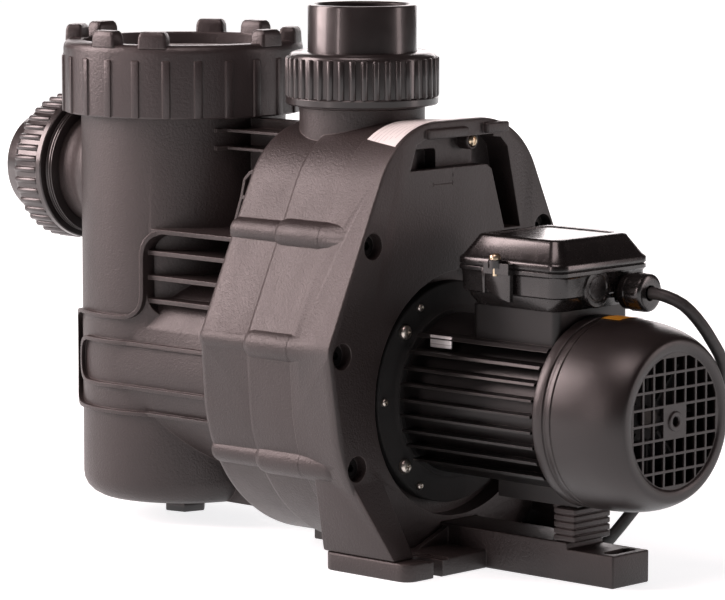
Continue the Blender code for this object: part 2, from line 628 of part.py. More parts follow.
def terminal_box():
    base = lofted("terminal_box_base", [box_loop(0.0085, BOX_BOTTOM), box_loop(0.0045, 0.1850),
                                        box_loop(0.0018, 0.1856), box_loop(0.0012, 0.1986), box_loop(0.0, 0.1996),
                                        box_loop(0.0, 0.2022)], BOX)
    boss = disc("knockout", 0.0125, BOX_X[1] - 0.010, BOX_X[1] - 0.0002, None, (0, -0.008, 0.1900), "X", 32)
    join(base, boss)
    cut(base, block("boss_trim", (0.20, 0.23), (-0.03, 0.02), (0.2022, 0.23)))
    cut(base, lofted("box_inside", [box_loop(0.0120, 0.1800, 0.006), box_loop(0.0060, 0.1880, 0.006),
                                    box_loop(0.0050, 0.21, 0.006)]))
    cut(base, disc("gland_hole", 0.0082, 0.19, 0.23, None, (0, GLAND_Y, GLAND_Z), "X", 32))
    gasket = lofted("terminal_box_gasket", [box_loop(0.0010, 0.2024), box_loop(0.0010, 0.2028)], RUBBER)
    cut(gasket, lofted("gasket_window", [box_loop(0.0048, 0.19, 0.006), box_loop(0.0048, 0.22, 0.006)]))
    lid = lofted("terminal_box_lid", [box_loop(0.0, LID_BASE), box_loop(0.0, 0.2068), box_loop(0.0022, 0.2090),
                                      box_loop(0.0098, 0.2212, 0.007), box_loop(0.0106, LID_TOP, 0.006)], BOX)
    cut(lid, lofted("lid_inside", [box_loop(0.0050, 0.19, 0.006), box_loop(0.0050, 0.2060, 0.006),
                                   box_loop(0.0125, 0.2190, 0.005)]))
    cut(lid, lofted("lid_panel", [box_loop(0.0150, 0.2212, 0.004), box_loop(0.0142, 0.2300, 0.004)]))
    disc("capacitor", 0.0125, -0.030, 0.026, SLEEVE, (0.1520, 0, 0.1985), "Y", 32)
    rack = block("terminal_block", (0.172, 0.192), (-0.030, 0.010), (0.1805, 0.1960), BOX)
    cut(rack, many("terminal_ways", [block("way", (0.168, 0.196), (y - 0.0026, y + 0.0026), (0.1880, 0.1920))
                                     for y in (-0.0235, -0.0100, 0.0035)]))
    for side, s in (("near", -1), ("far", 1)):
        y = sorted((s * (BOX_HALF + 0.0003), s * (BOX_HALF + 0.0062)))
        clip = block("lid_clip_" + side, (0.1510, 0.1755), y, (0.1860, 0.2065), BOX)
        middle = 0.1633
        cut(clip, disc("clip_hole_" + side, 0.0017, 0.19, 0.21, None, (middle, s * (BOX_HALF + 0.0040), 0), "Z", 16))
        screw("clip_screw_" + side, (middle, s * (BOX_HALF + 0.0040), 0.2068), "Z", 0.0034, 0.0052, 0.0014, 0.010)


def gland():
    at = (0, GLAND_Y, GLAND_Z)
    face = BOX_X[1]
    turned("gland_body", [(0.0045, face - 0.0075), (0.0078, face - 0.0075), (0.0078, face + 0.0003),
                          (0.0118, face + 0.0003), (0.0118, face + 0.0060), (0.0090, face + 0.0060),
                          (0.0090, face + 0.0120), (0.0045, face + 0.0120)], BOX, at, "X", 32)
    turned("gland_nut", [(0.0094, face + 0.0063), (0.0120, face + 0.0063), (0.0125, face + 0.0075),
                         (0.0125, face + 0.0175), (0.0112, face + 0.0190), (0.0046, face + 0.0190),
                         (0.0046, face + 0.0123), (0.0094, face + 0.0123)], BOX, at, "X", 32)
    return face + 0.0190


# ---------------------------------------------------------------- base

def pump_base():
    outline = [(RAIL_FRONT, 0.0), (RAIL_REAR, 0.0), (RAIL_REAR, RAIL_LOW_TOP - 0.001),
               (RAIL_REAR - 0.001, RAIL_LOW_TOP), (RAIL_STEP, RAIL_LOW_TOP), (RAIL_STEP, RAIL_TOP),
               (RAIL_FRONT, RAIL_TOP)]
    base = prism_y("pump_base", outline, (-RAIL_HALF, RAIL_HALF), CASING)
    join(base, prism_z("foot", rounded(FOOT_X, (-FOOT_HALF, FOOT_HALF), 0.009), (0.0, FOOT_TOP)))
    slots = []
    for y in (-0.0645, 0.0645):
        slots.append(prism_z("slot", rounded((0.104, 0.150), (y - 0.0045, y + 0.0045), 0.0044), (-0.01, 0.03)))
    cut(base, many("foot_slots", slots))
    cut(base, prism_z("rail_recess", rounded((0.2215, 0.2310), (-0.0125, 0.0125), 0.0045), (0.0130, 0.03)))
    return base


def motor_support():
    x, y = (0.1854, MOTOR_REAR), (-0.0180, 0.0180)
    rows = []
    low, high, layers = RAIL_TOP + GAP, 0.0477, 5
    tall = (high - low) / layers
    for k in range(layers):
        z0, z1 = low + k * tall, low + (k + 1) * tall
        for z, inset in ((z0, 0.0008), (z0 + 0.0006, 0.0), (z1 - 0.0006, 0.0), (z1, 0.0008)):
            rows.append((z, inset))
    clean = [row for k, row in enumerate(rows) if k == 0 or row != rows[k - 1]]
    loops = []
    for z, inset in clean:
        if loops and abs(loops[-1][0][2] - z) < 1e-7:
            continue
        loops.append([(x[0] + inset, y[0] + inset, z), (x[1] - inset, y[0] + inset, z),
                      (x[1] - inset, y[1] - inset, z), (x[0] + inset, y[1] - inset, z)])
    block_made = lofted("motor_support", loops, CASING)
    return block_made


# ---------------------------------------------------------------- mains lead

def smooth_path(corners, spacing):
    """Points at even steps along a Catmull-Rom curve through the corners."""
    dense = []
    padded = [corners[0]] + corners + [corners[-1]]
    for k in range(len(corners) - 1):
        a, b, c, d = (Vector(p) for p in padded[k:k + 4])
        for i in range(24):
            t = i / 24
            dense.append(0.5 * ((2 * b) + (c - a) * t + (2 * a - 5 * b + 4 * c - d) * t * t
                                + (3 * b - 3 * c + d - a) * t ** 3))
    dense.append(Vector(corners[-1]))
    lengths = np.cumsum([0.0] + [(q - p).length for p, q in zip(dense, dense[1:])])
    count = max(2, round(lengths[-1] / spacing))
    points = []
    for goal in np.linspace(0, lengths[-1], count + 1):
        i = min(int(np.searchsorted(lengths, goal, side="right")) - 1, len(dense) - 2)
        span = lengths[i + 1] - lengths[i]
        points.append(dense[i].lerp(dense[i + 1], (goal - lengths[i]) / span if span else 0))
    return points


def lead(start_x):
    floor = LEAD_D / 2 + 0.0003
    x, y = COIL_AT
    away = Vector((cos(radians(-10)), sin(radians(-10)), 0))
    end = Vector((x, y, floor)) + away * (COIL_MEAN_R + LEAD_D / 2 + 0.0004)
    path = [(start_x + GAP, GLAND_Y, GLAND_Z), (0.2430, GLAND_Y + 0.0008, GLAND_Z - 0.0008),
            (0.2560, 0.0290, 0.1780), (0.2640, 0.0430, 0.1580), (0.2620, 0.0590, 0.1340), (0.2400, 0.0690, 0.0980),
            (0.2180, 0.0710, 0.0720), (0.1960, 0.0620, 0.0460), (0.1820, 0.0520, 0.0240), (0.1680, 0.0510, 0.0090),
            (0.1540, 0.0600, floor), (0.1420, 0.0820, floor), (0.1260, 0.1080, floor), (0.0980, 0.1290, floor),
            (0.0560, 0.1410, floor), (0.0100, 0.1500, floor), (-0.0320, 0.1585, floor),
            end + away * 0.0140, end]
    curve = bpy.data.curves.new("mains_cable", "CURVE")
    curve.dimensions = "3D"
    curve.bevel_depth = LEAD_D / 2
    curve.bevel_resolution = 3
    curve.use_fill_caps = True
    points = smooth_path(path, 0.018)
    line = curve.splines.new("POLY")
    line.points.add(len(points) - 1)
    for spot, p in zip(line.points, points):
        spot.co = (*p, 1.0)
    made = bpy.data.objects.new("mains_cable", curve)
    PARTS.objects.link(made)
    curve.materials.append(LEAD)
    low, high = 0.0003, 0.0003 + COIL_TURNS * LEAD_D
    r0, r1 = COIL_MEAN_R - LEAD_D / 2, COIL_MEAN_R + LEAD_D / 2
    soft = 0.0018
    turned("cable_coil", [(r0, low + soft), (r0 + soft, low), (r1 - soft, low), (r1, low + soft), (r1, high - soft),
                          (r1 - soft, high), (r0 + soft, high), (r0, high - soft)], LEAD, (*COIL_AT, 0), "Z", 48)


def plug():
    """Two-pin plug lying on the floor; its tail runs past the coil's side, where the last turn leaves it."""
    tail, y, z = COIL_AT[0] - 0.0275, COIL_AT[1] + COIL_MEAN_R, 0.0198
    shape = ((0.0, 0.0040), (0.0240, 0.0040), (0.0245, 0.0062), (0.0420, 0.0088), (0.0520, 0.0170),
             (0.0640, 0.0180), (0.0780, 0.0195))
    body = turned("mains_plug", [(0, 0)] + [(r, -back) for back, r in shape] + [(0, -shape[-1][0])], LEAD,
                  (tail, y, z), "X", 38)
    pins = [disc("pin", 0.0024, tail - 0.097, tail - 0.074, None, (0, y + s * 0.0095, z), "X", 28) for s in (-1, 1)]
    return join(body, many("pins", pins))


strainer_housing()
strainer_parts()
union("suction", (0, 0, SUCTION_Z), "X", -1, 0.2724, -SUCTION_END)
tube("suction_thread_ring", 0.0403, 0.0470, -0.2622, -0.2554, GLOSS, (0, 0, SUCTION_Z), "X")
union("discharge", (0, 0, 0), "Z", 1, 0.3055, DISCHARGE_TOP)
volute_front()
volute_rear()
casing_parts()
hydraulic_parts()
motor_front()
motor_housing()
motor_inside()
fan()
fan_cover()
terminal_box()
lead(gland())
pump_base()
motor_support()
plug()
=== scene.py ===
"""Looks of a self-priming pool pump: strainer pot, volute casing, motor, terminal box and mains lead.

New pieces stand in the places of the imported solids, in metres: X runs along the motor shaft towards the fan
cover, Z is up from the ground, and the discharge port's axis stands at X = Y = 0.
"""
import json
from math import atan2, cos, pi, radians, sin, tau

import bpy
import numpy as np
from mathutils import Matrix, Vector


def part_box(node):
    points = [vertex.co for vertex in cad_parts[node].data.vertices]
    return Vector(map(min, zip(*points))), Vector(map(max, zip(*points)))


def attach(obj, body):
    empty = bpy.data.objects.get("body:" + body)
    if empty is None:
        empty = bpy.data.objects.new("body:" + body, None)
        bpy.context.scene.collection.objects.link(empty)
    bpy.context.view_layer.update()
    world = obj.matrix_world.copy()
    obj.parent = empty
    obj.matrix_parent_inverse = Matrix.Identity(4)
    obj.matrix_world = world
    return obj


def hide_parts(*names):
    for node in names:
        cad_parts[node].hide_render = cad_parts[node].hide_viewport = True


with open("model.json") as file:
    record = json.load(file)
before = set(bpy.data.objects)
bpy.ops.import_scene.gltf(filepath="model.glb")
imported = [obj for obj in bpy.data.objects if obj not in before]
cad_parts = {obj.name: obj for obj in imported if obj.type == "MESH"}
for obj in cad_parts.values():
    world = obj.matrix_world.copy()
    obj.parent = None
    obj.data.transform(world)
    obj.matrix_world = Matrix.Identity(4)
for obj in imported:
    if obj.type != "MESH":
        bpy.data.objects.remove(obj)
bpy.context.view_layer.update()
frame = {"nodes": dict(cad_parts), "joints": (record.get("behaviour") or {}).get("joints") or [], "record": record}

# Axes and stations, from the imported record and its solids
PIVOT = {joint["name"]: joint.get("pos_m") for joint in frame["joints"]}
MOTOR_Z = PIVOT["rotor_spin"][2]
POT_X = PIVOT["drain_plug_turn"][0]
SUCTION_Z = PIVOT["suction_nut_turn"][2]
POT_AT = (POT_X, 0, 0)
MOTOR_AT = (0, 0, MOTOR_Z)
SUCTION_AT = (0, 0, SUCTION_Z)
SUCTION_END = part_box("suction_union_end")[0].x
DISCHARGE_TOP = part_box("discharge_union_end")[1].z
CASE_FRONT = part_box("volute_front")[0].x
CASE_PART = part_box("volute_front")[1].x
CASE_REAR = 0.0880
POT_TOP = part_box("strainer_housing")[1].z
POT_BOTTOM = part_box("strainer_housing")[0].z
RING_BOTTOM, LUG_TOP = (corner.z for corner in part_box("lid_ring_nut"))
MOTOR_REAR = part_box("motor_housing")[1].x
COVER_START, COVER_END = (corner.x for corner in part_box("fan_cover"))
BOX_LOW, BOX_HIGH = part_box("terminal_box_base")
LID_LOW, LID_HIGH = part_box("terminal_box_lid")
RAIL_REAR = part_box("pump_base")[1].x
RAIL_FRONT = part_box("pump_base")[0].x

# Casing: circles (y, z, radius) that the wall wraps, right half; the left half mirrors it
BODY_CIRCLES = ((0.0, 0.1145, 0.1120), (0.0995, 0.1465, 0.0150), (0.008, 0.2215, 0.0655))
REAR_CIRCLES = ((0.0, 0.1145, 0.1180), (0.1085, 0.1470, 0.0160), (0.021, 0.2300, 0.0600))
CASE_STEP = 0.003
REAR_STATIONS = ((0.0420, 0.0), (0.0520, 0.16), (0.0800, 0.84), (0.0868, 1.0))
BARRELS = ((0.0775, 0.2145), (0.1068, 0.1455), (0.0960, 0.0695))
BOLTS = ((0.0832, 0.2132), (0.1122, 0.1448), (0.0982, 0.0704))
BARREL_R = 0.011
SEAT_R = 0.0815
PORT_R = 0.0315
SPIGOT_R = 0.0363
THREAD_R = 0.0445
POT_R = 0.071
FIN_R = 0.062
CELL = 0.0104
GLAND_Y = 0.0212
GLAND_Z = 0.1862
LEAD_D = 0.008
COIL_AT = Vector((-0.118, 0.172, 0))
COIL_R = 0.044
COIL_TURNS = 3.5
COIL_STEPS = 18
COIL_RISE = 0.0081
PLUG_Z = 0.0198

WAY = {"X": Vector((1, 0, 0)), "Y": Vector((0, 1, 0)), "Z": Vector((0, 0, 1))}
OUT = {"X": Vector((0, 1, 0)), "Y": Vector((0, 0, 1)), "Z": Vector((1, 0, 0))}
TURN = {"X": (0, pi / 2, 0), "Y": (-pi / 2, 0, 0), "Z": (0, 0, 0)}


# ---------------------------------------------------------------- modelling

def alone(piece=None):
    """Nothing is selected except this piece, in object mode."""
    if bpy.context.mode != "OBJECT":
        bpy.ops.object.mode_set(mode="OBJECT")
    bpy.ops.object.select_all(action="DESELECT")
    if piece is not None:
        piece.select_set(True)
        bpy.context.view_layer.objects.active = piece
    return piece


def settled(name):
    """Names the piece just made and puts its place into its mesh."""
    if bpy.context.mode != "OBJECT":
        bpy.ops.object.mode_set(mode="OBJECT")
    piece = bpy.context.object
    bpy.ops.object.transform_apply(location=True, rotation=True, scale=True)
    piece.name = piece.data.name = name
    return piece


def drum(name, radius, low, high, at=(0, 0, 0), axis="Z", sides=96, end_radius=None):
    alone()
    centre = Vector(at) + WAY[axis] * (low + high) / 2
    bpy.ops.mesh.primitive_cone_add(vertices=sides, radius1=radius, depth=high - low, location=centre,
                                    radius2=radius if end_radius is None else end_radius, rotation=TURN[axis])
    return settled(name)


def brick(name, x, y, z):
    alone()
    middle = [(v[0] + v[1]) / 2 for v in (x, y, z)]
    bpy.ops.mesh.primitive_cube_add(size=1, location=middle, scale=[v[1] - v[0] for v in (x, y, z)])
    return settled(name)


def draw(points):
    """An edge drawn from point to point; leaves edit mode on."""
    alone()
    bpy.ops.mesh.primitive_plane_add(size=0.001, location=points[0])
    bpy.ops.object.mode_set(mode="EDIT")
    bpy.ops.mesh.select_all(action="SELECT")
    bpy.ops.mesh.merge(type="CENTER")
    for here, there in zip(points, points[1:]):
        bpy.ops.mesh.extrude_region_move(TRANSFORM_OT_translate={"value": Vector(there) - Vector(here)})
    bpy.ops.mesh.select_all(action="SELECT")


def turned(name, profile, at=(0, 0, 0), axis="Z", steps=96):
    """A closed outline of (radius, distance along the axis) spun about the axis through at."""
    ring = list(profile)
    if not (ring[0][0] == 0 and ring[-1][0] == 0):
        ring.append(ring[0])
    draw([Vector(at) + OUT[axis] * r + WAY[axis] * h for r, h in ring])
    bpy.ops.mesh.spin(steps=steps, angle=tau, center=at, axis=WAY[axis])
    bpy.ops.mesh.select_all(action="SELECT")
    bpy.ops.mesh.remove_doubles(threshold=2e-6)
    bpy.ops.mesh.normals_make_consistent(inside=False)
    return settled(name)


def slab(name, outline, low, high, axis):
    """A flat outline, in the two other axes, extruded along the axis."""
    place = {"X": lambda a, b: Vector((low, a, b)), "Y": lambda a, b: Vector((a, low, b)),
             "Z": lambda a, b: Vector((a, b, low))}[axis]
    draw([place(*p) for p in list(outline) + [outline[0]]])
    bpy.ops.mesh.remove_doubles(threshold=1e-6)
    bpy.ops.mesh.edge_face_add()
    bpy.ops.mesh.extrude_region_move(TRANSFORM_OT_translate={"value": WAY[axis] * (high - low)})
    bpy.ops.mesh.select_all(action="SELECT")
    bpy.ops.mesh.normals_make_consistent(inside=False)
    return settled(name)


def skinned(name, loops):
    """A skin through loops of equal length, closed at both ends: a circle extruded once for each loop."""
    count = len(loops[0])
    alone()
    bpy.ops.mesh.primitive_circle_add(vertices=count, radius=1, fill_type="NGON", location=(0, 0, 0))
    bpy.ops.object.mode_set(mode="EDIT")
    bpy.ops.mesh.select_all(action="SELECT")
    for _ in loops[1:]:
        bpy.ops.mesh.extrude_region_move(TRANSFORM_OT_translate={"value": (0, 0, 1)})
    piece = settled(name)
    for vertex in piece.data.vertices:
        x, y, z = vertex.co
        vertex.co = loops[round(z)][round(atan2(y, x) / tau * count) % count]
    alone(piece)
    bpy.ops.object.mode_set(mode="EDIT")
    bpy.ops.mesh.select_all(action="SELECT")
    bpy.ops.mesh.remove_doubles(threshold=1e-6)
    bpy.ops.mesh.normals_make_consistent(inside=False)
    bpy.ops.object.mode_set(mode="OBJECT")
    return piece


def together(name, pieces):
    """Several pieces as one mesh."""
    alone(pieces[0])
    for piece in pieces:
        piece.select_set(True)
    bpy.ops.object.join()
    pieces[0].name = pieces[0].data.name = name
    return pieces[0]


def shaped(target, tool, operation, solver):
    alone(target)
    step = target.modifiers.new("shape", "BOOLEAN")
    step.operation, step.solver, step.object = operation, solver, tool
    bpy.ops.object.modifier_apply(modifier=step.name)
    bpy.data.objects.remove(tool)


def cut(target, *tools, solver="MANIFOLD"):
    for tool in tools:
        shaped(target, tool, "DIFFERENCE", solver)
    return target


def join(target, *tools, solver="MANIFOLD"):
    for tool in tools:
        shaped(target, tool, "UNION", solver)
    return target


def keep(target, tool, solver="MANIFOLD"):
    """Only what lies inside the tool as well."""
    shaped(target, tool, "INTERSECT", solver)
    return target


def rounded(x, z, radius, steps=8):
    """Outline of a rounded rectangle."""
    points = []
    for k, (cx, cz) in enumerate(((x[1], z[1]), (x[0], z[1]), (x[0], z[0]), (x[1], z[0]))):
        mx = cx - radius if k in (0, 3) else cx + radius
        mz = cz - radius if k in (0, 1) else cz + radius
        for i in range(steps + 1):
            a = (k + i / steps) * pi / 2
            points.append((mx + radius * cos(a), mz + radius * sin(a)))
    return points


def eased(piece, width, angle=40, segments=2):
    """Rounds every edge sharper than the angle."""
    alone(piece)
    step = piece.modifiers.new("ease", "BEVEL")
    step.width, step.segments, step.angle_limit = width, segments, radians(angle)
    step.limit_method = "ANGLE"
    bpy.ops.object.modifier_apply(modifier=step.name)
    return piece


def copied(piece, turn=None):
    """A copy with its own mesh, turned and moved by a matrix."""
    made = piece.copy()
    made.data = piece.data.copy()
    bpy.context.scene.collection.objects.link(made)
    if turn is not None:
        made.data.transform(turn)
    return made


def about(at, axis, angle):
    """The turn by an angle about an axis through a point."""
    there = Matrix.Translation(Vector(at))
    return there @ Matrix.Rotation(angle, 4, axis) @ there.inverted()


def around(name, piece, at, axis, angles):
    """Copies of the piece at these angles round the axis, as one mesh; the first piece is used up."""
    copies = [copied(piece, about(at, axis, a)) for a in angles]
    bpy.data.objects.remove(piece)
    return together(name, copies)


def ready(piece, body, finish, replaced=(), smooth=32):
    """Shades, paints and mounts a finished piece."""
    alone(piece)
    bpy.ops.object.shade_smooth_by_angle(angle=radians(smooth))
    piece.data.materials.clear()
    piece.data.materials.append(finish)
    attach(piece, body)
    if replaced:
        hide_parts(*([replaced] if isinstance(replaced, str) else replaced))
    return piece


# ---------------------------------------------------------------- finishes

class Tap:
    """A shader socket that takes part in sums."""

    def __init__(self, finish, socket):
        self.finish, self.socket = finish, socket

    def _sum(self, operation, other, swapped=False):
        pair = (other, self) if swapped else (self, other)
        return self.finish.node("ShaderNodeMath", {"operation": operation}, dict(enumerate(pair)))

    def __add__(self, other):
        return self._sum("ADD", other)

    def __radd__(self, other):
        return self._sum("ADD", other, True)

    def __sub__(self, other):
        return self._sum("SUBTRACT", other)

    def __rsub__(self, other):
        return self._sum("SUBTRACT", other, True)

    def __mul__(self, other):
        return self._sum("MULTIPLY", other)

    def __rmul__(self, other):
        return self._sum("MULTIPLY", other, True)

    def __truediv__(self, other):
        return self._sum("DIVIDE", other)

    def __pow__(self, other):
        return self._sum("POWER", other)

    def __gt__(self, other):
        return self._sum("GREATER_THAN", other)

    def __lt__(self, other):
        return self._sum("LESS_THAN", other)

    def between(self, low, high):
        """0 at low and under, 1 at high and over."""
        return self.finish.node("ShaderNodeMapRange", {"clamp": True},
                                {0: self, 1: low, 2: high, 3: 0.0, 4: 1.0})


class Finish:
    """One material, built node by node."""

    def __init__(self, name, roughness=0.5, **constants):
        self.material = bpy.data.materials.new(name)
        self.material.use_nodes = True
        self.tree = self.material.node_tree
        self.shader = self.tree.nodes["Principled BSDF"]
        self.shader.inputs["Roughness"].default_value = roughness
        for socket, value in constants.items():
            self.shader.inputs[socket.replace("_", " ")].default_value = value

    def node(self, kind, settings=None, sockets=None, out=0):
        made = self.tree.nodes.new(kind)
        for name, value in (settings or {}).items():
            if name == "stops":
                ramp = made.color_ramp.elements
                while len(ramp) < len(value):
                    ramp.new(0.5)
                for stop, (position, colour) in zip(ramp, value):
                    stop.position, stop.color = position, (*colour, 1)
            else:
                setattr(made, name, value)
        for name, value in (sockets or {}).items():
            if isinstance(value, Tap):
                self.tree.links.new(value.socket, made.inputs[name])
            else:
                made.inputs[name].default_value = value
        return Tap(self, made.outputs[out])

    def place(self, scale=(1, 1, 1), turn=(0, 0, 0), shift=(0, 0, 0)):
        spot = self.node("ShaderNodeTexCoord", out="Object")
        return self.node("ShaderNodeMapping", None, {"Vector": spot, "Scale": scale, "Rotation": turn,
                                                     "Location": shift})

    def axes(self):
        """The three Object coordinates, each as a value."""
        split = self.tree.nodes.new("ShaderNodeSeparateXYZ")
        self.tree.links.new(self.node("ShaderNodeTexCoord", out="Object").socket, split.inputs[0])
        return [Tap(self, split.outputs[k]) for k in range(3)]

    def noise(self, scale, detail=3.0, rough=0.55, place=None):
        return self.node("ShaderNodeTexNoise", None, {"Vector": place or self.place(), "Scale": scale,
                                                      "Detail": detail, "Roughness": rough})

    def mix(self, share, one, two):
        """From colour one at share 0 to colour two at share 1."""
        one, two = (c if isinstance(c, Tap) else (*c, 1) for c in (one, two))
        return self.node("ShaderNodeMix", {"data_type": "RGBA"}, {0: share, 6: one, 7: two}, out=2)

    def eased_normal(self, radius):
        """Normals rounded over every edge, and how near an edge is."""
        soft = self.node("ShaderNodeBevel", {"samples": 4}, {"Radius": radius})
        true = self.node("ShaderNodeNewGeometry", out="Normal")
        dot = self.node("ShaderNodeVectorMath", {"operation": "DOT_PRODUCT"}, {0: soft, 1: true}, out="Value")
        return soft, (1 - dot).between(0.02, 0.16)

    def feed(self, **sockets):
        for name, value in sockets.items():
            self.tree.links.new(value.socket, self.shader.inputs[name.replace("_", " ")])

    def relief(self, height, strength, distance, normal=None):
        sockets = {"Height": height, "Strength": strength, "Distance": distance}
        if normal is not None:
            sockets["Normal"] = normal
        self.feed(Normal=self.node("ShaderNodeBump", None, sockets))
        return self.material


def moulding(name, dark, light, worn_and_lit, roughness, grain=1500, depth=0.00006, edge=0.0007, wear_and_highlight=0.5,
             **constants):
    """Moulded plastic: slow colour drift, fine skin grain, edges rounded and coloured a little lighter, partly for
    scuffing and partly as a painted edge highlight.
    """
    f = Finish(name, roughness, **constants)
    soft, near = f.eased_normal(edge)
    drift = f.noise(11, 3).between(0.30, 0.70)
    skin, fine = f.noise(grain, 2, 0.6), f.noise(grain * 3.1, 2, 0.6)
    smear = f.noise(60, 4, 0.6, f.place((1, 1, 0.25)))
    body = f.mix(drift * 0.7 + skin * 0.3, dark, light)
    # Painted edge highlight: edges take a lighter colour, standing partly for scuffing and partly for the light
    # that rounded edges catch.
    rubbed_and_lit = near * (0.35 + smear) * wear_and_highlight
    f.feed(Base_Color=f.mix(rubbed_and_lit, body, worn_and_lit),
           Roughness=roughness + (skin - 0.5) * 0.16 + (smear - 0.5) * 0.16 - near * 0.06)
    return f.relief(skin + fine * 0.4, 0.8, depth, soft)


def casing_finish():
    return moulding("graphite_casing", (0.0150, 0.0108, 0.0104), (0.0300, 0.0228, 0.0222),
                    (0.105, 0.084, 0.080), 0.44, grain=640, depth=0.00038, edge=0.0010, wear_and_highlight=0.7)


def gloss_finish(name="black_union", roughness=0.30, dark=(0.0120, 0.0095, 0.0095),
                 light=(0.0200, 0.0160, 0.0158)):
    f = Finish(name, roughness, Coat_Roughness=0.12)
    soft, near = f.eased_normal(0.0006)
    drift, skin = f.noise(30, 3), f.noise(900, 2)
    handling = f.noise(140, 5, 0.65)
    # Painted edge highlight: colour goes lighter towards every edge.
    f.feed(Base_Color=f.mix(near * 0.35, f.mix(drift.between(0.3, 0.7), dark, light), (0.060, 0.056, 0.056)),
           Roughness=roughness + handling.between(0.35, 0.75) * 0.10 + (skin - 0.5) * 0.08,
           Coat_Weight=0.25 + drift * 0.2)
    return f.relief(skin * 0.6 + handling * 0.4, 0.35, 0.00004, soft)


def paint_finish():
    """Black enamel on a die casting: slight orange peel, dust lying in it, edges lighter all round as a painted
    edge highlight, and lighter still at chips.
    """
    f = Finish("motor_enamel", 0.34)
    soft, near = f.eased_normal(0.0005)
    peel, dust = f.noise(420, 3), f.noise(35, 5, 0.6)
    chips = f.noise(700, 4, 0.7).between(0.60, 0.66)
    body = f.mix(dust.between(0.45, 0.8) * 0.35, (0.0034, 0.0028, 0.0028), (0.014, 0.0112, 0.0108))
    # Painted edge highlight on every edge; the chip spots on top of it are real paint damage.
    f.feed(Base_Color=f.mix(near * (0.25 + chips * 0.5), body, (0.16, 0.145, 0.135)),
           Roughness=0.30 + dust * 0.16 + peel * 0.04, Metallic=near * 0.35)
    return f.relief(peel + chips * 0.2, 0.30, 0.00009, soft)


def steel_finish(name="bright_steel", dark=(0.46, 0.43, 0.39), light=(0.68, 0.64, 0.58), roughness=0.26):
    f = Finish(name, roughness, Metallic=1.0)
    brushed = f.noise(900, 4, 0.7, f.place((0.15, 1, 1)))
    tarnish = f.noise(120, 4).between(0.45, 0.75)
    f.feed(Base_Color=f.mix(brushed * 0.5 + tarnish * 0.5, light, dark), Roughness=roughness + brushed * 0.18)
    return f.relief(brushed, 0.25, 0.00005)


def iron_finish():
    """Stacked sheets, seen as fine rings along the motor."""
    f = Finish("stacked_iron", 0.45, Metallic=0.9)
    x = f.axes()[0]
    sheets = (x * (tau / 0.0008))._sum("SINE", 0.0)
    stain = f.noise(90, 4)
    f.feed(Base_Color=f.mix(stain, (0.16, 0.15, 0.145), (0.30, 0.28, 0.26)), Roughness=0.36 + stain * 0.2)
    return f.relief(sheets * 0.4 + stain * 0.4, 0.5, 0.0001)


def ceramic_finish():
    f = Finish("pale_ceramic", 0.30)
    speck, cloud = f.noise(1600, 3), f.noise(60, 3)
    f.feed(Base_Color=f.mix(speck * 0.5 + cloud * 0.5, (0.66, 0.63, 0.57), (0.82, 0.80, 0.75)),
           Roughness=0.22 + speck * 0.2)
    return f.relief(speck, 0.2, 0.00004)


def sleeve_finish():
    """Drawn aluminium can."""
    f = Finish("capacitor_can", 0.3, Metallic=0.85)
    drawn = f.noise(600, 4, 0.6, f.place((1, 0.05, 1)))
    f.feed(Base_Color=f.mix(drawn, (0.42, 0.43, 0.45), (0.62, 0.63, 0.65)), Roughness=0.22 + drawn * 0.25)
    return f.relief(drawn, 0.2, 0.00004)


def rubber_finish():
    f = Finish("black_rubber", 0.72)
    soft, near = f.eased_normal(0.0003)
    bloom, pores = f.noise(70, 4), f.noise(1900, 3)
    # Bloom gives real blotchy tone; the edge share adds a painted edge highlight.
    f.feed(Base_Color=f.mix(bloom * 0.8 + near * 0.2, (0.013, 0.013, 0.013), (0.040, 0.038, 0.037)),
           Roughness=0.62 + bloom * 0.2)
    return f.relief(pores, 0.4, 0.00008, soft)


def sheath_finish():
    """Cable sheath: soft dull rubber with scuffs."""
    f = Finish("cable_sheath", 0.5)
    scuff, pores = f.noise(160, 5, 0.65), f.noise(1500, 3)
    f.feed(Base_Color=f.mix(scuff.between(0.4, 0.8), (0.016, 0.0155, 0.0155), (0.046, 0.043, 0.042)),
           Roughness=0.40 + scuff * 0.25)
    return f.relief(pores * 0.6 + scuff * 0.3, 0.35, 0.00007)


def clear_finish():
    """Clear lid: faint haze and fine wiping scratches."""
    f = Finish("clear_lid", 0.12, IOR=1.58, Transmission_Weight=0.25)
    haze = f.noise(28, 4)
    wiped = f.noise(500, 4, 0.7, f.place((1, 0.04, 1), (0, 0, 0.5)))
    f.feed(Base_Color=f.mix(haze, (0.86, 0.88, 0.88), (0.94, 0.95, 0.95)),
           Roughness=0.10 + wiped.between(0.55, 0.8) * 0.12 + haze * 0.06)
    return f.relief(wiped, 0.12, 0.00003)


def basket_finish():
    return moulding("pale_basket", (0.60, 0.61, 0.60), (0.72, 0.73, 0.72), (0.82, 0.82, 0.81), 0.42,
                    grain=900, depth=0.00005, edge=0.0004, wear_and_highlight=0.6)


def label_finish():
    """White film with a few pale grey rules, printed blank."""
    f = Finish("white_label", 0.32)
    x, y, _ = f.axes()
    row = (x * (1 / 0.0052))._sum("FRACT", 0.0)
    rule = (row > 0.62) * (row < 0.80) * (f.noise(210, 1) > 0.40) * (y < 0.012) * (y > -0.050)
    grime = f.noise(90, 4)
    paper = f.mix(grime * 0.5, (0.80, 0.79, 0.77), (0.88, 0.88, 0.87))
    f.feed(Base_Color=f.mix(rule * 0.45, paper, (0.30, 0.30, 0.31)), Roughness=0.28 + grime * 0.15)
    return f.relief(f.noise(700, 3), 0.12, 0.00003)


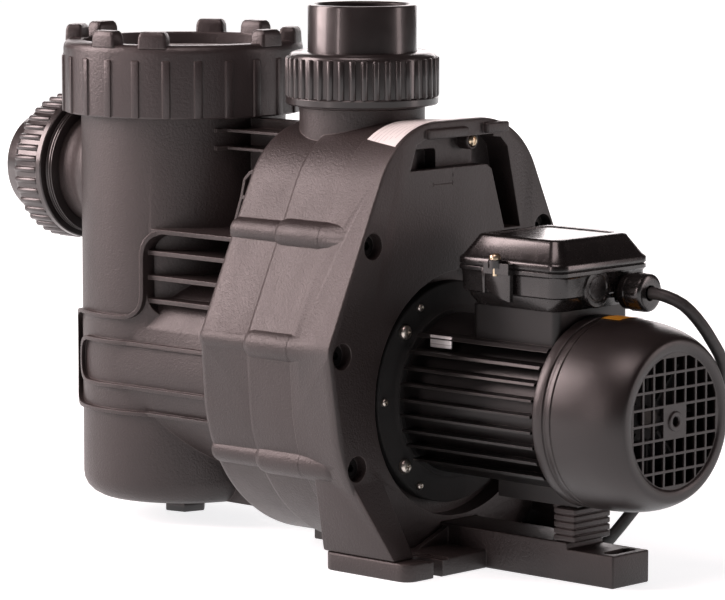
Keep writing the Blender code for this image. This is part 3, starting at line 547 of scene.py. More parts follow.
def plate_finish():
    """Silvered rating plate, blank with two ruled lines."""
    f = Finish("rating_plate", 0.3, Metallic=0.6)
    _, _, z = f.axes()
    row = (z * (1 / 0.0031))._sum("FRACT", 0.0)
    grime = f.noise(150, 4)
    face = f.mix(grime, (0.62, 0.62, 0.62), (0.80, 0.80, 0.80))
    f.feed(Base_Color=f.mix((row > 0.80) * 0.5, face, (0.18, 0.18, 0.18)), Roughness=0.25 + grime * 0.2)
    return f.relief(grime, 0.15, 0.00004)


def sticker_finish():
    """Amber sticker with a plain dark border line."""
    f = Finish("amber_sticker", 0.38)
    fade, speck = f.noise(80, 4), f.noise(900, 2)
    f.feed(Base_Color=f.mix(fade, (0.60, 0.24, 0.012), (0.75, 0.36, 0.03)), Roughness=0.30 + speck * 0.2)
    return f.relief(speck, 0.15, 0.00003)


FINISH = {
    "casing_plastic": casing_finish(),
    "union_plastic": gloss_finish(),
    "lid_polycarbonate": clear_finish(),
    "basket_plastic": basket_finish(),
    "rubber": rubber_finish(),
    "hydraulic_plastic": moulding("glass_filled_black", (0.020, 0.020, 0.021), (0.034, 0.034, 0.036),
                                  (0.10, 0.10, 0.10), 0.48, grain=700, depth=0.0001),
    "motor_paint": paint_finish(),
    "stainless_steel": steel_finish(),
    "stator_iron": iron_finish(),
    "seal_ceramic": ceramic_finish(),
    "cover_plastic": moulding("cover_satin", (0.0100, 0.0076, 0.0074), (0.0160, 0.0122, 0.0118),
                              (0.085, 0.070, 0.066), 0.34, grain=1100, depth=0.00010, edge=0.0006, wear_and_highlight=0.4),
    "box_plastic": gloss_finish("black_box", 0.22, (0.0050, 0.0042, 0.0042), (0.0090, 0.0074, 0.0072)),
    "capacitor_sleeve": sleeve_finish(),
    "lead_rubber": sheath_finish(),
}
RING = moulding("ring_satin", (0.0200, 0.0150, 0.0150), (0.0330, 0.0250, 0.0250), (0.120, 0.096, 0.092), 0.38,
                grain=520, depth=0.00030, edge=0.0008, wear_and_highlight=0.7)
OXIDE = moulding("black_oxide", (0.004, 0.004, 0.004), (0.008, 0.007, 0.007), (0.03, 0.03, 0.03), 0.42,
                 grain=900, depth=0.00004, edge=0.0003, wear_and_highlight=0.3, Metallic=0.7)
IRON_SHAFT = steel_finish("oiled_shaft", (0.020, 0.019, 0.018), (0.060, 0.056, 0.052), 0.35)
BRASSY = steel_finish("brassy_screw", (0.42, 0.33, 0.22), (0.80, 0.68, 0.50), 0.20)
LABEL, PLATE, STICKER = label_finish(), plate_finish(), sticker_finish()
# Near-black finish for the motor flange ring and the fan: painted shade where they sit back, at the casing's seat
# and inside the cover.
SHADE_BLACK = moulding("deep_recess", (0.006, 0.006, 0.006), (0.010, 0.010, 0.010), (0.012, 0.012, 0.012), 0.85)

for row in frame["record"]["subparts"]:
    node = frame["nodes"][row["node"]]
    node.data.materials.clear()
    node.data.materials.append(IRON_SHAFT if row["node"] == "shaft" else FINISH[row["material_slot"]])


# ---------------------------------------------------------------- casing outlines

def wrapped(circles, grow, a):
    """Where the wall that wraps the circles and their mirror images stands, at normal angle a."""
    rows = [(s * y, z, r + grow) for y, z, r in circles for s in (1, -1)]
    y, z, r = max(rows, key=lambda c: c[0] * cos(a) + c[1] * sin(a) + c[2])
    return y + r * cos(a), max(z + r * sin(a), 0.0005)


def outline(circles, grow, x, steps=144):
    return [(x, *wrapped(circles, grow, tau * (i + 0.5) / steps)) for i in range(steps)]


def rear_outline(share, x, grow=0.0, steps=144):
    body, rear = outline(BODY_CIRCLES, grow, x, steps), outline(REAR_CIRCLES, grow, x, steps)
    return [(x, p[1] + (q[1] - p[1]) * share, p[2] + (q[2] - p[2]) * share) for p, q in zip(body, rear)]


def on_rear(x, a, grow):
    """A point on the rear section's outside, at station x and normal angle a."""
    share = float(np.interp(x, *zip(*REAR_STATIONS)))
    p, q = wrapped(BODY_CIRCLES, grow, a), wrapped(REAR_CIRCLES, grow, a)
    return x, p[0] + (q[0] - p[0]) * share, p[1] + (q[1] - p[1]) * share


def mirrored(spots):
    return [(s * y, z) for y, z in spots for s in (-1, 1)]


# ---------------------------------------------------------------- strainer end

def filleted(corners, steps=8):
    """Outline through corners (x, z, radius), each turned on an arc of its radius."""
    points, count = [], len(corners)
    for k, (x, z, r) in enumerate(corners):
        here = Vector((x, z))
        before = (Vector(corners[k - 1][:2]) - here).normalized()
        after = (Vector(corners[(k + 1) % count][:2]) - here).normalized()
        for i in range(steps + 1 if r else 1):
            t = i / steps
            edge = here + (before * (1 - t) ** 2 + after * t ** 2) * r
            points.append(tuple(edge))
    return points


def pot_band(name, outside, inside, proud):
    """A rib between two outlines that stands proud round the pot and the suction tube."""
    band = slab(name, filleted(outside), -0.09, 0.09, "Y")
    cut(band, slab("hole", filleted(inside), -0.1, 0.1, "Y"))
    core = drum("core", POT_R + proud, 0.03, 0.23, POT_AT, sides=144)
    join(core, drum("tube", 0.0708 + proud, POT_X, POT_X + 0.155, MOTOR_AT, "X", 144))
    cut(core, drum("way", 0.0660, 0.02, 0.24, POT_AT),
        drum("tube_way", 0.0610, POT_X - 0.01, 0.05, MOTOR_AT, "X"))
    return keep(core, band)


def pot_body():
    pot = turned("strainer_pot", [(0, POT_BOTTOM), (0.056, POT_BOTTOM), (0.0605, 0.0153), (0.0650, 0.0178),
                                  (0.0685, 0.0215), (0.0704, 0.0256), (POT_R, 0.030), (POT_R, 0.2835),
                                  (0.0753, 0.2860), (0.0753, 0.3093), (0.0741, POT_TOP), (0, POT_TOP)],
                 POT_AT, steps=144)
    cut(pot, slab("window", rounded((-0.141, -0.02), (0.1460, 0.2035), 0.015), -0.09, 0.09, "Y"))
    join(pot, drum("inner_wall", 0.0645, 0.135, 0.215, POT_AT, sides=144))
    join(pot, drum("suction_tube", 0.0708, POT_X, POT_X + 0.145, MOTOR_AT, "X", 144))
    join(pot, turned("suction_neck",
                     [(0, -0.2724), (THREAD_R, -0.2724), (THREAD_R, -0.2625), (0.0400, -0.2625),
                      (0.0400, -0.250), (0.0412, -0.243), (0.0437, -0.236), (0.0480, -0.228),
                      (0.0480, -0.1671), (0, -0.1671)], SUCTION_AT, "X", 112))
    return pot


def bridge():
    """Shelves, ties, web and open gussets between pot and casing."""
    past = CASE_FRONT + 0.004
    made = brick("bridge", (-0.118, past), (-0.005, 0.005), (0.15, 0.2808))
    for z in (0.157, 0.173, 0.190, 0.205):
        join(made, brick("shelf", (-0.150, past + 0.003), (-0.0635, 0.0635), (z - 0.0015, z + 0.0015)))
    for z in (0.2615, 0.2735):
        join(made, brick("tie", (-0.130, past + 0.003), (-0.026, 0.026), (z - 0.0009, z + 0.0009)))
    edge = [(-0.069, 0.2045), (-0.0584, 0.2336), (-0.0552, 0.2459), (-0.0500, 0.2510), (-0.0430, 0.2535),
            (past + 0.005, 0.2540), (past + 0.005, 0.2045)]
    inner = [(-0.0655, 0.2075), (-0.0568, 0.2320), (-0.0320, 0.2328), (-0.0320, 0.2075)]
    upper = [(-0.0560, 0.2345), (-0.0535, 0.2450), (-0.0490, 0.2490), (-0.0425, 0.2512), (-0.0320, 0.2518),
             (-0.0320, 0.2350)]
    for y in (-0.0570, 0.0546):
        gusset = slab("gusset", edge, y, y + 0.0024, "Y")
        cut(gusset, slab("open", inner, y - 0.01, y + 0.01, "Y"),
            slab("open", upper, y - 0.01, y + 0.01, "Y"))
        join(made, gusset)
    return cut(made, drum("bridge_core", 0.0628, 0.1, 0.3, POT_AT, sides=144))


def strainer_pot():
    pot = pot_body()
    cut(pot, turned("pot_bore", [(0, 0.0235), (0.051, 0.0235), (0.0570, 0.0265), (0.0605, 0.034),
                                 (0.0605, 0.33), (0, 0.33)], POT_AT, steps=144),
        drum("suction_bore", PORT_R, -0.30, -0.1811, SUCTION_AT, "X"),
        turned("eye_chamber", [(0, -0.1583), (0.050, -0.1583), (0.050, -0.048), (0.0305, -0.040),
                               (0.0305, 0.0), (0, 0.0)], MOTOR_AT, "X"),
        turned("lid_groove", [(0.0640, 0.3090), (0.0692, 0.3090), (0.0692, 0.32), (0.0640, 0.32)], POT_AT),
        drum("drain_bore", 0.0096, 0.0, 0.03, POT_AT, sides=48))
    keel = brick("keel", (-0.113, -0.027), (-0.018, 0.018), (0.0155, 0.05))
    join(pot, keel, bridge())
    join(pot, pot_band("loop_outer",
                       [(0.020, 0.0775, 0), (-0.2262, 0.0775, 0.020), (-0.2262, 0.1460, 0.020),
                        (-0.1436, 0.1460, 0.016), (-0.1436, 0.2065, 0.020), (0.020, 0.2065, 0)],
                       [(0.050, 0.0802, 0), (-0.2235, 0.0802, 0.018), (-0.2235, 0.1433, 0.018),
                        (-0.1410, 0.1433, 0.019), (-0.1410, 0.2037, 0.018), (0.050, 0.2037, 0)], 0.0035))
    join(pot, pot_band("loop_inner",
                       [(0.020, 0.0955, 0), (-0.2087, 0.0955, 0.014), (-0.2087, 0.1285, 0.014),
                        (0.020, 0.1285, 0)],
                       [(0.050, 0.0982, 0), (-0.2060, 0.0982, 0.012), (-0.2060, 0.1258, 0.012),
                        (0.050, 0.1258, 0)],
                       0.0035))
    cut(pot, brick("front_trim", (CASE_FRONT - 0.0005, 0.02), (-0.2, 0.2), (-0.1, 0.4)),
        drum("neck_clearance", 0.0428, 0.243, 0.32))
    for z in (0.2735, 0.2615):
        stub = brick("rib_end", (POT_X + 0.066, POT_X + 0.0745), (-0.0065, 0.0065), (z - 0.0013, z + 0.0013))
        join(pot, around("rib_ends", stub, POT_AT, "Z", [radians(-22)]))
    return ready(pot, "pump", FINISH["casing_plastic"], "strainer_housing")


def lid_nut():
    """Ring with upright strips round its skirt and eight lugs on its shoulder."""
    low = RING_BOTTOM
    ring = turned("lid_nut", [(0.0763, low), (0.0822, low), (0.0830, low + 0.0010), (0.0830, 0.3262),
                              (0.0826, 0.3285), (0.0814, 0.3305), (0.0795, 0.3317), (0.0770, 0.3320),
                              (0.0708, 0.3320), (0.0698, 0.3312), (0.0698, 0.3208), (0.0763, 0.3208)], POT_AT,
                  steps=192)
    strip = brick("strip", (0.0815, 0.0843), (-0.0028, 0.0028), (low + 0.0004, 0.3215))
    eased(strip, 0.0008)
    strip.data.transform(Matrix.Translation((POT_X, 0, 0)))
    join(ring, around("strips", strip, POT_AT, "Z", [radians(7.5 + 15 * k) for k in range(24)]))
    lug = skinned("lug", [[(x, y, h) for x, y in rounded((0.0702 + lean, 0.0826 - lean), (-w, w), 0.0022, 4)]
                          for w, h, lean in ((0.0102, 0.330, 0), (0.0099, 0.3370, 0.0003),
                                             (0.0090, 0.3396, 0.0008), (0.0078, LUG_TOP, 0.0020))])
    lug.data.transform(Matrix.Translation((POT_X, 0, 0)))
    spots = [radians(17 + 90 * k + side) for k in range(4) for side in (-13.5, 13.5)]
    join(ring, around("lugs", lug, POT_AT, "Z", spots))
    return ready(ring, "lid_nut", RING, "lid_ring_nut")


def lid():
    made = turned("clear_lid", [(0, 0.3142), (0.0560, 0.3142), (0.0585, 0.3135), (0.0600, 0.3128),
                                (0.0745, 0.3128), (0.0745, 0.3205), (0.0690, 0.3205), (0.0688, 0.3224),
                                (0.0680, 0.3236), (0.0668, 0.3240), (0.0300, 0.3240), (0, 0.3240)], POT_AT,
                  steps=144)
    return ready(made, "lid", FINISH["lid_polycarbonate"], "strainer_lid")


def ring_seal(name, radius, thick, at, axis, body, node):
    section = [(radius + thick * cos(a), thick * sin(a)) for a in (tau * k / 16 for k in range(16))]
    made = turned(name, section, at, axis, 128)
    return ready(made, body, FINISH["rubber"], node, 60)


def basket():
    """Slotted strainer basket with a bail handle."""
    shell = turned("leaf_basket", [(0, 0.0240), (0.0450, 0.0240), (0.0465, 0.0260), (0.0560, 0.2960),
                                   (0.0595, 0.2975), (0.0595, 0.3010), (0.0540, 0.3010), (0.0447, 0.0282),
                                   (0.0430, 0.0265), (0, 0.0265)], POT_AT, steps=96)
    for k in range(9):
        low = 0.036 + 0.0285 * k
        slot = slab("slot", rounded((-0.0022, 0.0022), (low, low + 0.0225), 0.0021, 3), 0.040, 0.070, "Y")
        slot.data.transform(Matrix.Translation((POT_X, 0, 0)))
        cut(shell, around("slots", slot, POT_AT, "Z", [radians(12 * i + 6 * (k % 2)) for i in range(30)]))
    hole = drum("hole", 0.0022, 0.02, 0.03, (POT_X + 0.012, 0, 0), sides=12)
    holes = [copied(hole, Matrix.Translation((0.009 * ring, 0, 0))) for ring in range(4)]
    bpy.data.objects.remove(hole)
    for ring, one in enumerate(holes):
        cut(shell, around("holes", one, POT_AT, "Z", [tau * i / (8 + 6 * ring) for i in range(8 + 6 * ring)]))
    bail = [(-0.0545, 0.2960), (-0.0545, 0.3085), (-0.0500, 0.3115), (0.0500, 0.3115), (0.0545, 0.3085),
            (0.0545, 0.2960), (0.0515, 0.2960), (0.0515, 0.3070), (0.0485, 0.3090), (-0.0485, 0.3090),
            (-0.0515, 0.3070), (-0.0515, 0.2960)]
    handle = slab("bail", [(x + POT_X, z) for x, z in bail], -0.004, 0.004, "Y")
    join(shell, eased(handle, 0.0006))
    return ready(shell, "basket", FINISH["basket_plastic"], "strainer_basket")


def drain():
    plug = turned("pot_drain_plug", [(0, 0.0080), (0.0165, 0.0080), (0.0165, 0.0112), (0.0090, 0.0112),
                                     (0.0090, 0.0215), (0.0082, 0.0225), (0, 0.0225)], POT_AT, steps=64)
    head = slab("head", [(POT_X + 0.0156 * cos(radians(60 * k + 13)), 0.0156 * sin(radians(60 * k + 13)))
                         for k in range(6)], 0.0012, 0.0085, "Z")
    join(plug, eased(head, 0.0010))
    return ready(plug, "drain", FINISH["union_plastic"], "drain_plug")


def union_nut(name, at, axis, sign, neck, tall, body, node):
    """Collar with a plain lower band, forty rounded ribs and a rounded shoulder."""
    seat = neck + 0.0003
    low, lip, top = neck - 0.0096, seat + 0.0063, neck + tall
    profile = [(0.0450, low), (0.0501, low), (0.0509, low + 0.0008), (0.0509, low + 0.0048),
               (0.0503, low + 0.0056), (0.0496, low + 0.0060), (0.0496, top - 0.0052), (0.0490, top - 0.0026),
               (0.0474, top - 0.0009), (0.0450, top), (0.0369, top), (0.0369, lip), (0.0450, lip)]
    nut = turned(name, [(r, sign * h) for r, h in profile], at, axis, 160)
    rib_low, rib_high = sorted((sign * (low + 0.0052), sign * (top - 0.0036)))
    start = Vector(at) + OUT[axis] * 0.0491
    rib = drum("rib", 0.0024, rib_low, rib_high, start, axis, 16)
    eased(rib, 0.0012, 60)
    join(nut, around("ribs", rib, at, axis, [tau * k / 40 for k in range(40)]))
    return ready(nut, body, FINISH["union_plastic"], node)


def union_end(name, at, axis, sign, neck, end, node):
    seat = neck + 0.0003
    profile = [(PORT_R + 0.0006, seat), (0.0440, seat), (0.0440, seat + 0.006), (SPIGOT_R, seat + 0.006),
               (SPIGOT_R, end - 0.0014), (SPIGOT_R - 0.0005, end - 0.0004), (SPIGOT_R - 0.0014, end),
               (PORT_R + 0.0012, end), (PORT_R, end - 0.0012), (PORT_R, seat + 0.001)]
    made = turned(name, [(r, sign * h) for r, h in profile], at, axis, 144)
    return ready(made, "pump", FINISH["union_plastic"], node)


def thread_ring():
    """The few threads that show behind the suction nut."""
    profile = [(0.0403, -0.2622), (0.0462, -0.2622), (0.0470, -0.2614), (0.0470, -0.2606), (0.0455, -0.2596),
               (0.0470, -0.2586), (0.0470, -0.2578), (0.0455, -0.2570), (0.0470, -0.2562), (0.0470, -0.2556),
               (0.0466, -0.2554), (0.0403, -0.2554)]
    made = turned("suction_threads", profile, SUCTION_AT, "X", 112)
    return ready(made, "pump", FINISH["union_plastic"], "suction_thread_ring")


# ---------------------------------------------------------------- casing

def case_front():
    body, front = BODY_CIRCLES, CASE_FRONT
    rows = ((-0.0075, front), (-0.0058, front + 0.0006), (-0.0043, front + 0.0020), (-0.0034, front + 0.0040),
            (-0.0030, front + 0.0062), (-0.0034, 0.0012), (-0.0026, 0.0016), (-0.0010, 0.0026),
            (-0.0003, 0.0040), (0.0, 0.0058), (0.0, CASE_PART - 0.0009), (-0.0016, CASE_PART))
    case = skinned("casing_front", [outline(body, grow, x) for grow, x in rows])
    barrels = [turned("barrel",
                      [(0, CASE_STEP - 0.001), (0.0085, CASE_STEP - 0.0010), (0.0100, CASE_STEP + 0.0010),
                       (0.0108, CASE_STEP + 0.0040), (BARREL_R, CASE_STEP + 0.0065),
                       (BARREL_R, CASE_PART - 0.0009), (BARREL_R - 0.0016, CASE_PART),
                       (0, CASE_PART)],
                      (0, y, z), "X", 40) for y, z in mirrored(BARRELS)]
    join(case, together("barrels", barrels))
    noses = [turned("nose", [(0, front + 0.001), (0.0060, front + 0.001), (0.0074, front + 0.0022),
                             (0.0083, front + 0.0042), (0.0086, front + 0.0070), (0.0086, CASE_STEP + 0.002),
                             (0, CASE_STEP + 0.002)],
                    (0, y * 0.974, z), "X", 40) for y, z in mirrored(BARRELS)]
    join(case, together("noses", noses))
    join(case, turned("discharge_neck", [(0, 0.245), (0.033, 0.245), (0.038, 0.2545), (0.0405, 0.2610),
                                         (0.0420, 0.2680), (0.0420, 0.2940), (THREAD_R, 0.2950),
                                         (THREAD_R, 0.3055), (0, 0.3055)], steps=112))
    cut(case, skinned("front_cavity", [outline(body, -0.0085, x) for x in (-0.0250, 0.06)]),
        drum("discharge_bore", PORT_R, 0.25, 0.32), drum("eye", 0.0305, -0.05, -0.01, MOTOR_AT, "X"),
        brick("rail_way", (RAIL_FRONT - 0.0003, 0.2), (-0.0183, 0.0183), (-0.05, 0.0258)))
    return ready(case, "pump", FINISH["casing_plastic"], "volute_front")


def leg(s):
    """Wall that widens from the rear casing's side down to the foot plate, on side s."""
    rows = ((0.0123, 0.1160, 0.0930, 0.0735), (0.0610, 0.0868, 0.1017, 0.0735),
            (0.0850, 0.0860, 0.1060, 0.0800))
    return skinned("leg", [[(0.0525, s * far, z), (x, s * far, z), (x, s * near, z), (0.0525, s * near, z)]
                           for z, x, far, near in rows])


def case_rear():
    start = REAR_STATIONS[0][0]
    loops = [rear_outline(0.0, start, -0.0016), rear_outline(0.012, start + 0.0009)]
    loops += [rear_outline(share, x) for x, share in REAR_STATIONS[1:]]
    loops += [rear_outline(1.0, CASE_REAR - 0.0005, -0.0003), rear_outline(1.0, CASE_REAR, -0.0012)]
    case = skinned("casing_rear", loops)
    tips = [(cos(radians(a)), 0.0662 + 0.0110 * sin(radians(a))) for a in (0, 12, 24, 36, 48, 60, 72, 82)]
    barrels = [turned("barrel", [(0, start), (BARREL_R - 0.0016, start), (BARREL_R, start + 0.0009)]
                      + [(BARREL_R * share, x) for share, x in tips] + [(0, 0.0772)],
                      (0, y, z), "X", 40) for y, z in mirrored(BARRELS)]
    join(case, together("barrels", barrels))
    join(case, eased(leg(-1), 0.0015, 50), eased(leg(1), 0.0015, 50))
    for y, x_end, z in (((-0.0330, 0.0055), 0.0912, (0.2790, 0.2855)),
                        ((0.0225, 0.0445), 0.0922, (0.2800, 0.2868))):
        join(case, eased(brick("lip", (0.070, x_end), y, z), 0.0014, segments=3))
    cut(case, skinned("rear_cavity", [outline(BODY_CIRCLES, -0.0085, x) for x in (0.03, 0.0600)]),
        drum("seat", SEAT_R, 0.074, 0.10, MOTOR_AT, "X", 160),
        drum("seal_bore", 0.0210, 0.05, 0.09, MOTOR_AT, "X"),
        together("head_recesses", [drum("recess", 0.0086, 0.0798, 0.10, (0, y, z), "X", 48)
                                   for y, z in mirrored(BOLTS)]),
        together("shanks",
                 [drum("shank", 0.0033, 0.03, 0.085, (0, y, z), "X", 20) for y, z in mirrored(BOLTS)]),
        slab("pocket", [(-0.0480, 0.2592), (0.0330, 0.2592), (0.0330, 0.2790), (-0.0340, 0.2790),
                        (-0.0420, 0.2760)],
             0.0760, 0.10, "X"),
        slab("notch", rounded((-0.0341, -0.0108), (0.2560, 0.2716), 0.0030, 4), 0.066, 0.080, "X"),
        slab("slot", [(0.0250, 0.2780), (0.0400, 0.2765), (0.0470, 0.2700), (0.0600, 0.2155),
                      (0.0440, 0.2155), (0.0310, 0.2560), (0.0250, 0.2600)], 0.0690, 0.10, "X"),
        brick("rail_way", (0, 0.2), (-0.0183, 0.0183), (-0.05, 0.0258)),
        brick("foot_way", (0.0517, 0.2), (-0.15, 0.15), (-0.05, 0.0123)))
    marks = [brick("mark", (0.0876, 0.10), y, z) for y, z in (((-0.0265, -0.0260), (0.2478, 0.2505)),
                                                              ((-0.0265, -0.0070), (0.2490, 0.2494)),
                                                              ((-0.0075, -0.0068), (0.2475, 0.2508)),
                                                              ((-0.0075, -0.0066), (0.2535, 0.2560)))]
    for mark in marks:
        cut(case, mark)
    return ready(case, "pump", FINISH["casing_plastic"], "volute_rear")


def case_screws():
    """Socket-head bolts sunk in their holes, and the bright one in the pocket."""
    for k, (y, z) in enumerate(mirrored(BOLTS), 1):
        bolt = turned("socket_bolt_%d" % k,
                      [(0, 0.0120), (0.0030, 0.0120), (0.0030, 0.0785), (0.0068, 0.0785), (0.0068, 0.0812),
                       (0.0062, 0.0820), (0, 0.0820)], (0, y, z), "X", 40)
        cut(bolt, drum("socket", 0.0029, 0.0792, 0.0830, (0, y, z), "X", 6))
        ready(bolt, "pump", OXIDE, "casing_bolt_%d" % k)
    at = (0, 0.0156, 0.2752)
    collar = turned("pocket_screw_well",
                    [(0.0030, 0.0755), (0.0058, 0.0755), (0.0058, 0.0845), (0.0052, 0.0852),
                     (0.0044, 0.0852), (0.0044, 0.0790), (0.0030, 0.0790)], at, "X", 48)
    ready(collar, "pump", FINISH["casing_plastic"], ())
    head = turned("pocket_screw", [(0, 0.0770), (0.0026, 0.0770), (0.0026, 0.0812), (0.0040, 0.0812),
                                   (0.0040, 0.0842), (0.0037, 0.0856), (0.0029, 0.0866), (0.0015, 0.0871),
                                   (0, 0.0872)], at, "X", 48)
    cut(head, brick("drive", (0.0858, 0.09), (at[1] - 0.0005, at[1] + 0.0005),
                    (at[2] - 0.0024, at[2] + 0.0024)))
    ready(head, "pump", BRASSY, ())


def crest_label():
    """Blank white label lying over the crest of the rear casing."""
    across, along = 48, 10
    alone()
    bpy.ops.mesh.primitive_grid_add(x_subdivisions=across, y_subdivisions=along, size=2)
    label = settled("crest_label")
    for vertex in label.data.vertices:
        u, v = (vertex.co.x + 1) / 2, (vertex.co.y + 1) / 2
        x = 0.0455 + 0.0395 * v
        a = radians(52 + (122 + 8 * v - 52) * u)
        vertex.co = on_rear(x, a, 0.00008)
    alone(label)
    bpy.ops.object.mode_set(mode="EDIT")
    bpy.ops.mesh.select_all(action="SELECT")
    bpy.ops.mesh.normals_make_consistent(inside=False)
    bpy.ops.object.mode_set(mode="OBJECT")
    if label.data.polygons[0].normal.z < 0:
        label.data.flip_normals()
    film = label.modifiers.new("film", "SOLIDIFY")
    film.thickness, film.offset = 0.00025, 1
    bpy.ops.object.modifier_apply(modifier=film.name)
    return ready(label, "pump", LABEL, (), 50)


# ---------------------------------------------------------------- motor

def motor_front():
    face = 0.0743
    flange = turned("motor_flange_ring", [(0.0165, face), (0.0734, face), (0.0734, 0.0822), (0.0726, 0.0830),
                                          (0.0590, 0.0830), (0.0575, 0.0836), (0.0560, 0.0850),
                                          (0.0560, 0.0864), (0.0487, 0.0864), (0.0487, 0.0960),
                                          (0.0175, 0.0960), (0.0175, 0.0880), (0.0165, 0.0880)], MOTOR_AT,
                    "X", 144)
    # Painted shade: the flange ring takes the near-black finish.
    ready(flange, "pump", SHADE_BLACK, "motor_flange")
    for k, a in enumerate((42, 138, 222, 318), 1):
        y, z = 0.0660 * cos(radians(a)), MOTOR_Z + 0.0660 * sin(radians(a))
        dome_screw("flange_bolt_%d" % k, (0, y, z), "X", 0.0833, 0.0048, 0.0042, FINISH["stainless_steel"],
                   "flange_screw_%d" % k, 0.0080)
    for k, a in enumerate((120, 180, 240, 60, 0, 300), 1):
        y, z = 0.0680 * cos(radians(a)), MOTOR_Z + 0.0680 * sin(radians(a))
        dome_screw("flange_pin_%d" % k, (0, y, z), "X", 0.0831, 0.0026, 0.0026, FINISH["stainless_steel"],
                   (), 0.002)


def dome_screw(name, at, axis, seat, radius, tall, finish, node, shank):
    """Round-headed screw with a cross recess; its head sits at the seat."""
    head = turned(name, [(0, seat - shank), (radius * 0.45, seat - shank), (radius * 0.45, seat),
                         (radius, seat), (radius, seat + tall * 0.45), (radius * 0.93, seat + tall * 0.68),
                         (radius * 0.74, seat + tall * 0.88), (radius * 0.42, seat + tall * 0.98),
                         (0, seat + tall)], at, axis, 40)
    middle = Vector(at) + WAY[axis] * (seat + tall)
    for long, thin in ((0.55, 0.12), (0.12, 0.55)):
        a, b = radius * long, radius * thin
        reach = {"X": ((middle.x - tall * 0.45, middle.x + 0.002), (middle.y - a, middle.y + a),
                       (middle.z - b, middle.z + b)),
                 "Z": ((middle.x - a, middle.x + a), (middle.y - b, middle.y + b),
                       (middle.z - tall * 0.45, middle.z + 0.002))}[axis]
        cut(head, brick("cross", *reach))
    return ready(head, "pump", finish, node)


def motor_body():
    """Finned shell: level plates that end on one circle, a saddle for the terminal box and a foot."""
    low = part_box("motor_housing")[0].x
    shell = drum("motor_shell", 0.053, low, MOTOR_REAR, MOTOR_AT, "X", 128)
    fins = drum("fins", FIN_R, low + 0.004, MOTOR_REAR - 0.0005, MOTOR_AT, "X", 128)
    plates = []
    for k in range(-4, 5):
        z = MOTOR_Z + 0.0020 + 0.0102 * k
        plates.append(slab("fin", [(-0.080, z - 0.0005), (-0.052, z - 0.0010), (-0.040, z - 0.0013),
                                   (0.040, z - 0.0013), (0.052, z - 0.0010), (0.080, z - 0.0005),
                                   (0.080, z + 0.0005), (0.052, z + 0.0010), (0.040, z + 0.0013),
                                   (-0.040, z + 0.0013), (-0.052, z + 0.0010), (-0.080, z + 0.0005)],
                           0.05, 0.25, "X"))
    keep(fins, together("fin_stack", plates))
    join(shell, fins, slab("saddle", rounded((0.1300, 0.2028), (-0.036, 0.036), 0.006), 0.150,
                           BOX_LOW.z - 0.0003, "Z"),
         brick("foot", (0.135, MOTOR_REAR - 0.001), (-0.014, 0.014), (0.0483, 0.062)))
    cut(shell, drum("stator_bore", 0.0490, 0.05, 0.25, MOTOR_AT, "X"))
    return ready(shell, "pump", FINISH["motor_paint"], "motor_housing")


def rating_plate():
    """Blank plate on the motor's near side, between two fins."""
    z = MOTOR_Z + 0.0402
    made = brick("rating_plate", (0.1030, 0.1215), (-0.0452, -0.0440), (z - 0.0040, z + 0.0040))
    return ready(eased(made, 0.0003), "pump", PLATE)


def cover():
    """Fan cover: banded front, smooth barrel, domed rim and a grid of square cells round a blank plate."""
    start = COVER_START
    outside = [(0.0598, start), (0.0608, start + 0.0002), (0.0616, start + 0.0007), (0.0620, start + 0.0016),
               (0.0620, 0.2118), (0.0617, 0.2126), (0.0609, 0.2130), (0.0609, 0.2151), (0.0617, 0.2155),
               (0.0620, 0.2163), (0.0620, 0.2192), (0.0613, 0.2197), (0.0613, 0.2201), (0.0620, 0.2206),
               (0.0620, 0.2240), (0.0619, 0.2290), (0.0616, 0.2350), (0.0611, 0.2420), (0.0604, 0.2480),
               (0.0595, 0.2530), (0.0583, 0.2580), (0.0568, 0.2625), (0.0553, 0.2660), (0.0540, 0.2685),
               (0.0528, 0.2704), (0.0518, 0.2715), (0.0505, COVER_END), (0.0455, COVER_END), (0.0444, 0.2714),
               (0.0436, 0.2706), (0, 0.2706)]
    inside = [(0, 0.2688), (0.0500, 0.2688), (0.0535, 0.2640), (0.0565, 0.2550), (0.0587, 0.2420),
              (0.0595, 0.2300), (0.0598, 0.2200)]
    made = turned("motor_fan_cover", outside + inside, MOTOR_AT, "X", 144)
    opening = drum("opening", 0.0430, 0.2600, 0.2800, MOTOR_AT, "X", 96)
    bar, cells = 0.00085, []
    for i in range(-4, 4):
        for j in range(-4, 4):
            if not (i in (-1, 0) and j in (-1, 0)):
                cells.append(brick("cell", (0.2500, 0.2900), (CELL * i + bar, CELL * (i + 1) - bar),
                                   (MOTOR_Z + CELL * j + bar, MOTOR_Z + CELL * (j + 1) - bar)))
    keep(opening, together("cells", cells))
    cut(made, opening, drum("plate_hole", 0.0032, 0.25, 0.29, MOTOR_AT, "X", 32))
    hub = turned("hub", [(0.0030, 0.2692), (0.0064, 0.2692), (0.0064, 0.2712), (0.0058, 0.2718),
                         (0.0038, 0.2718), (0.0030, 0.2711)], MOTOR_AT, "X", 48)
    join(made, hub)
    return ready(made, "pump", FINISH["cover_plastic"], "fan_cover")


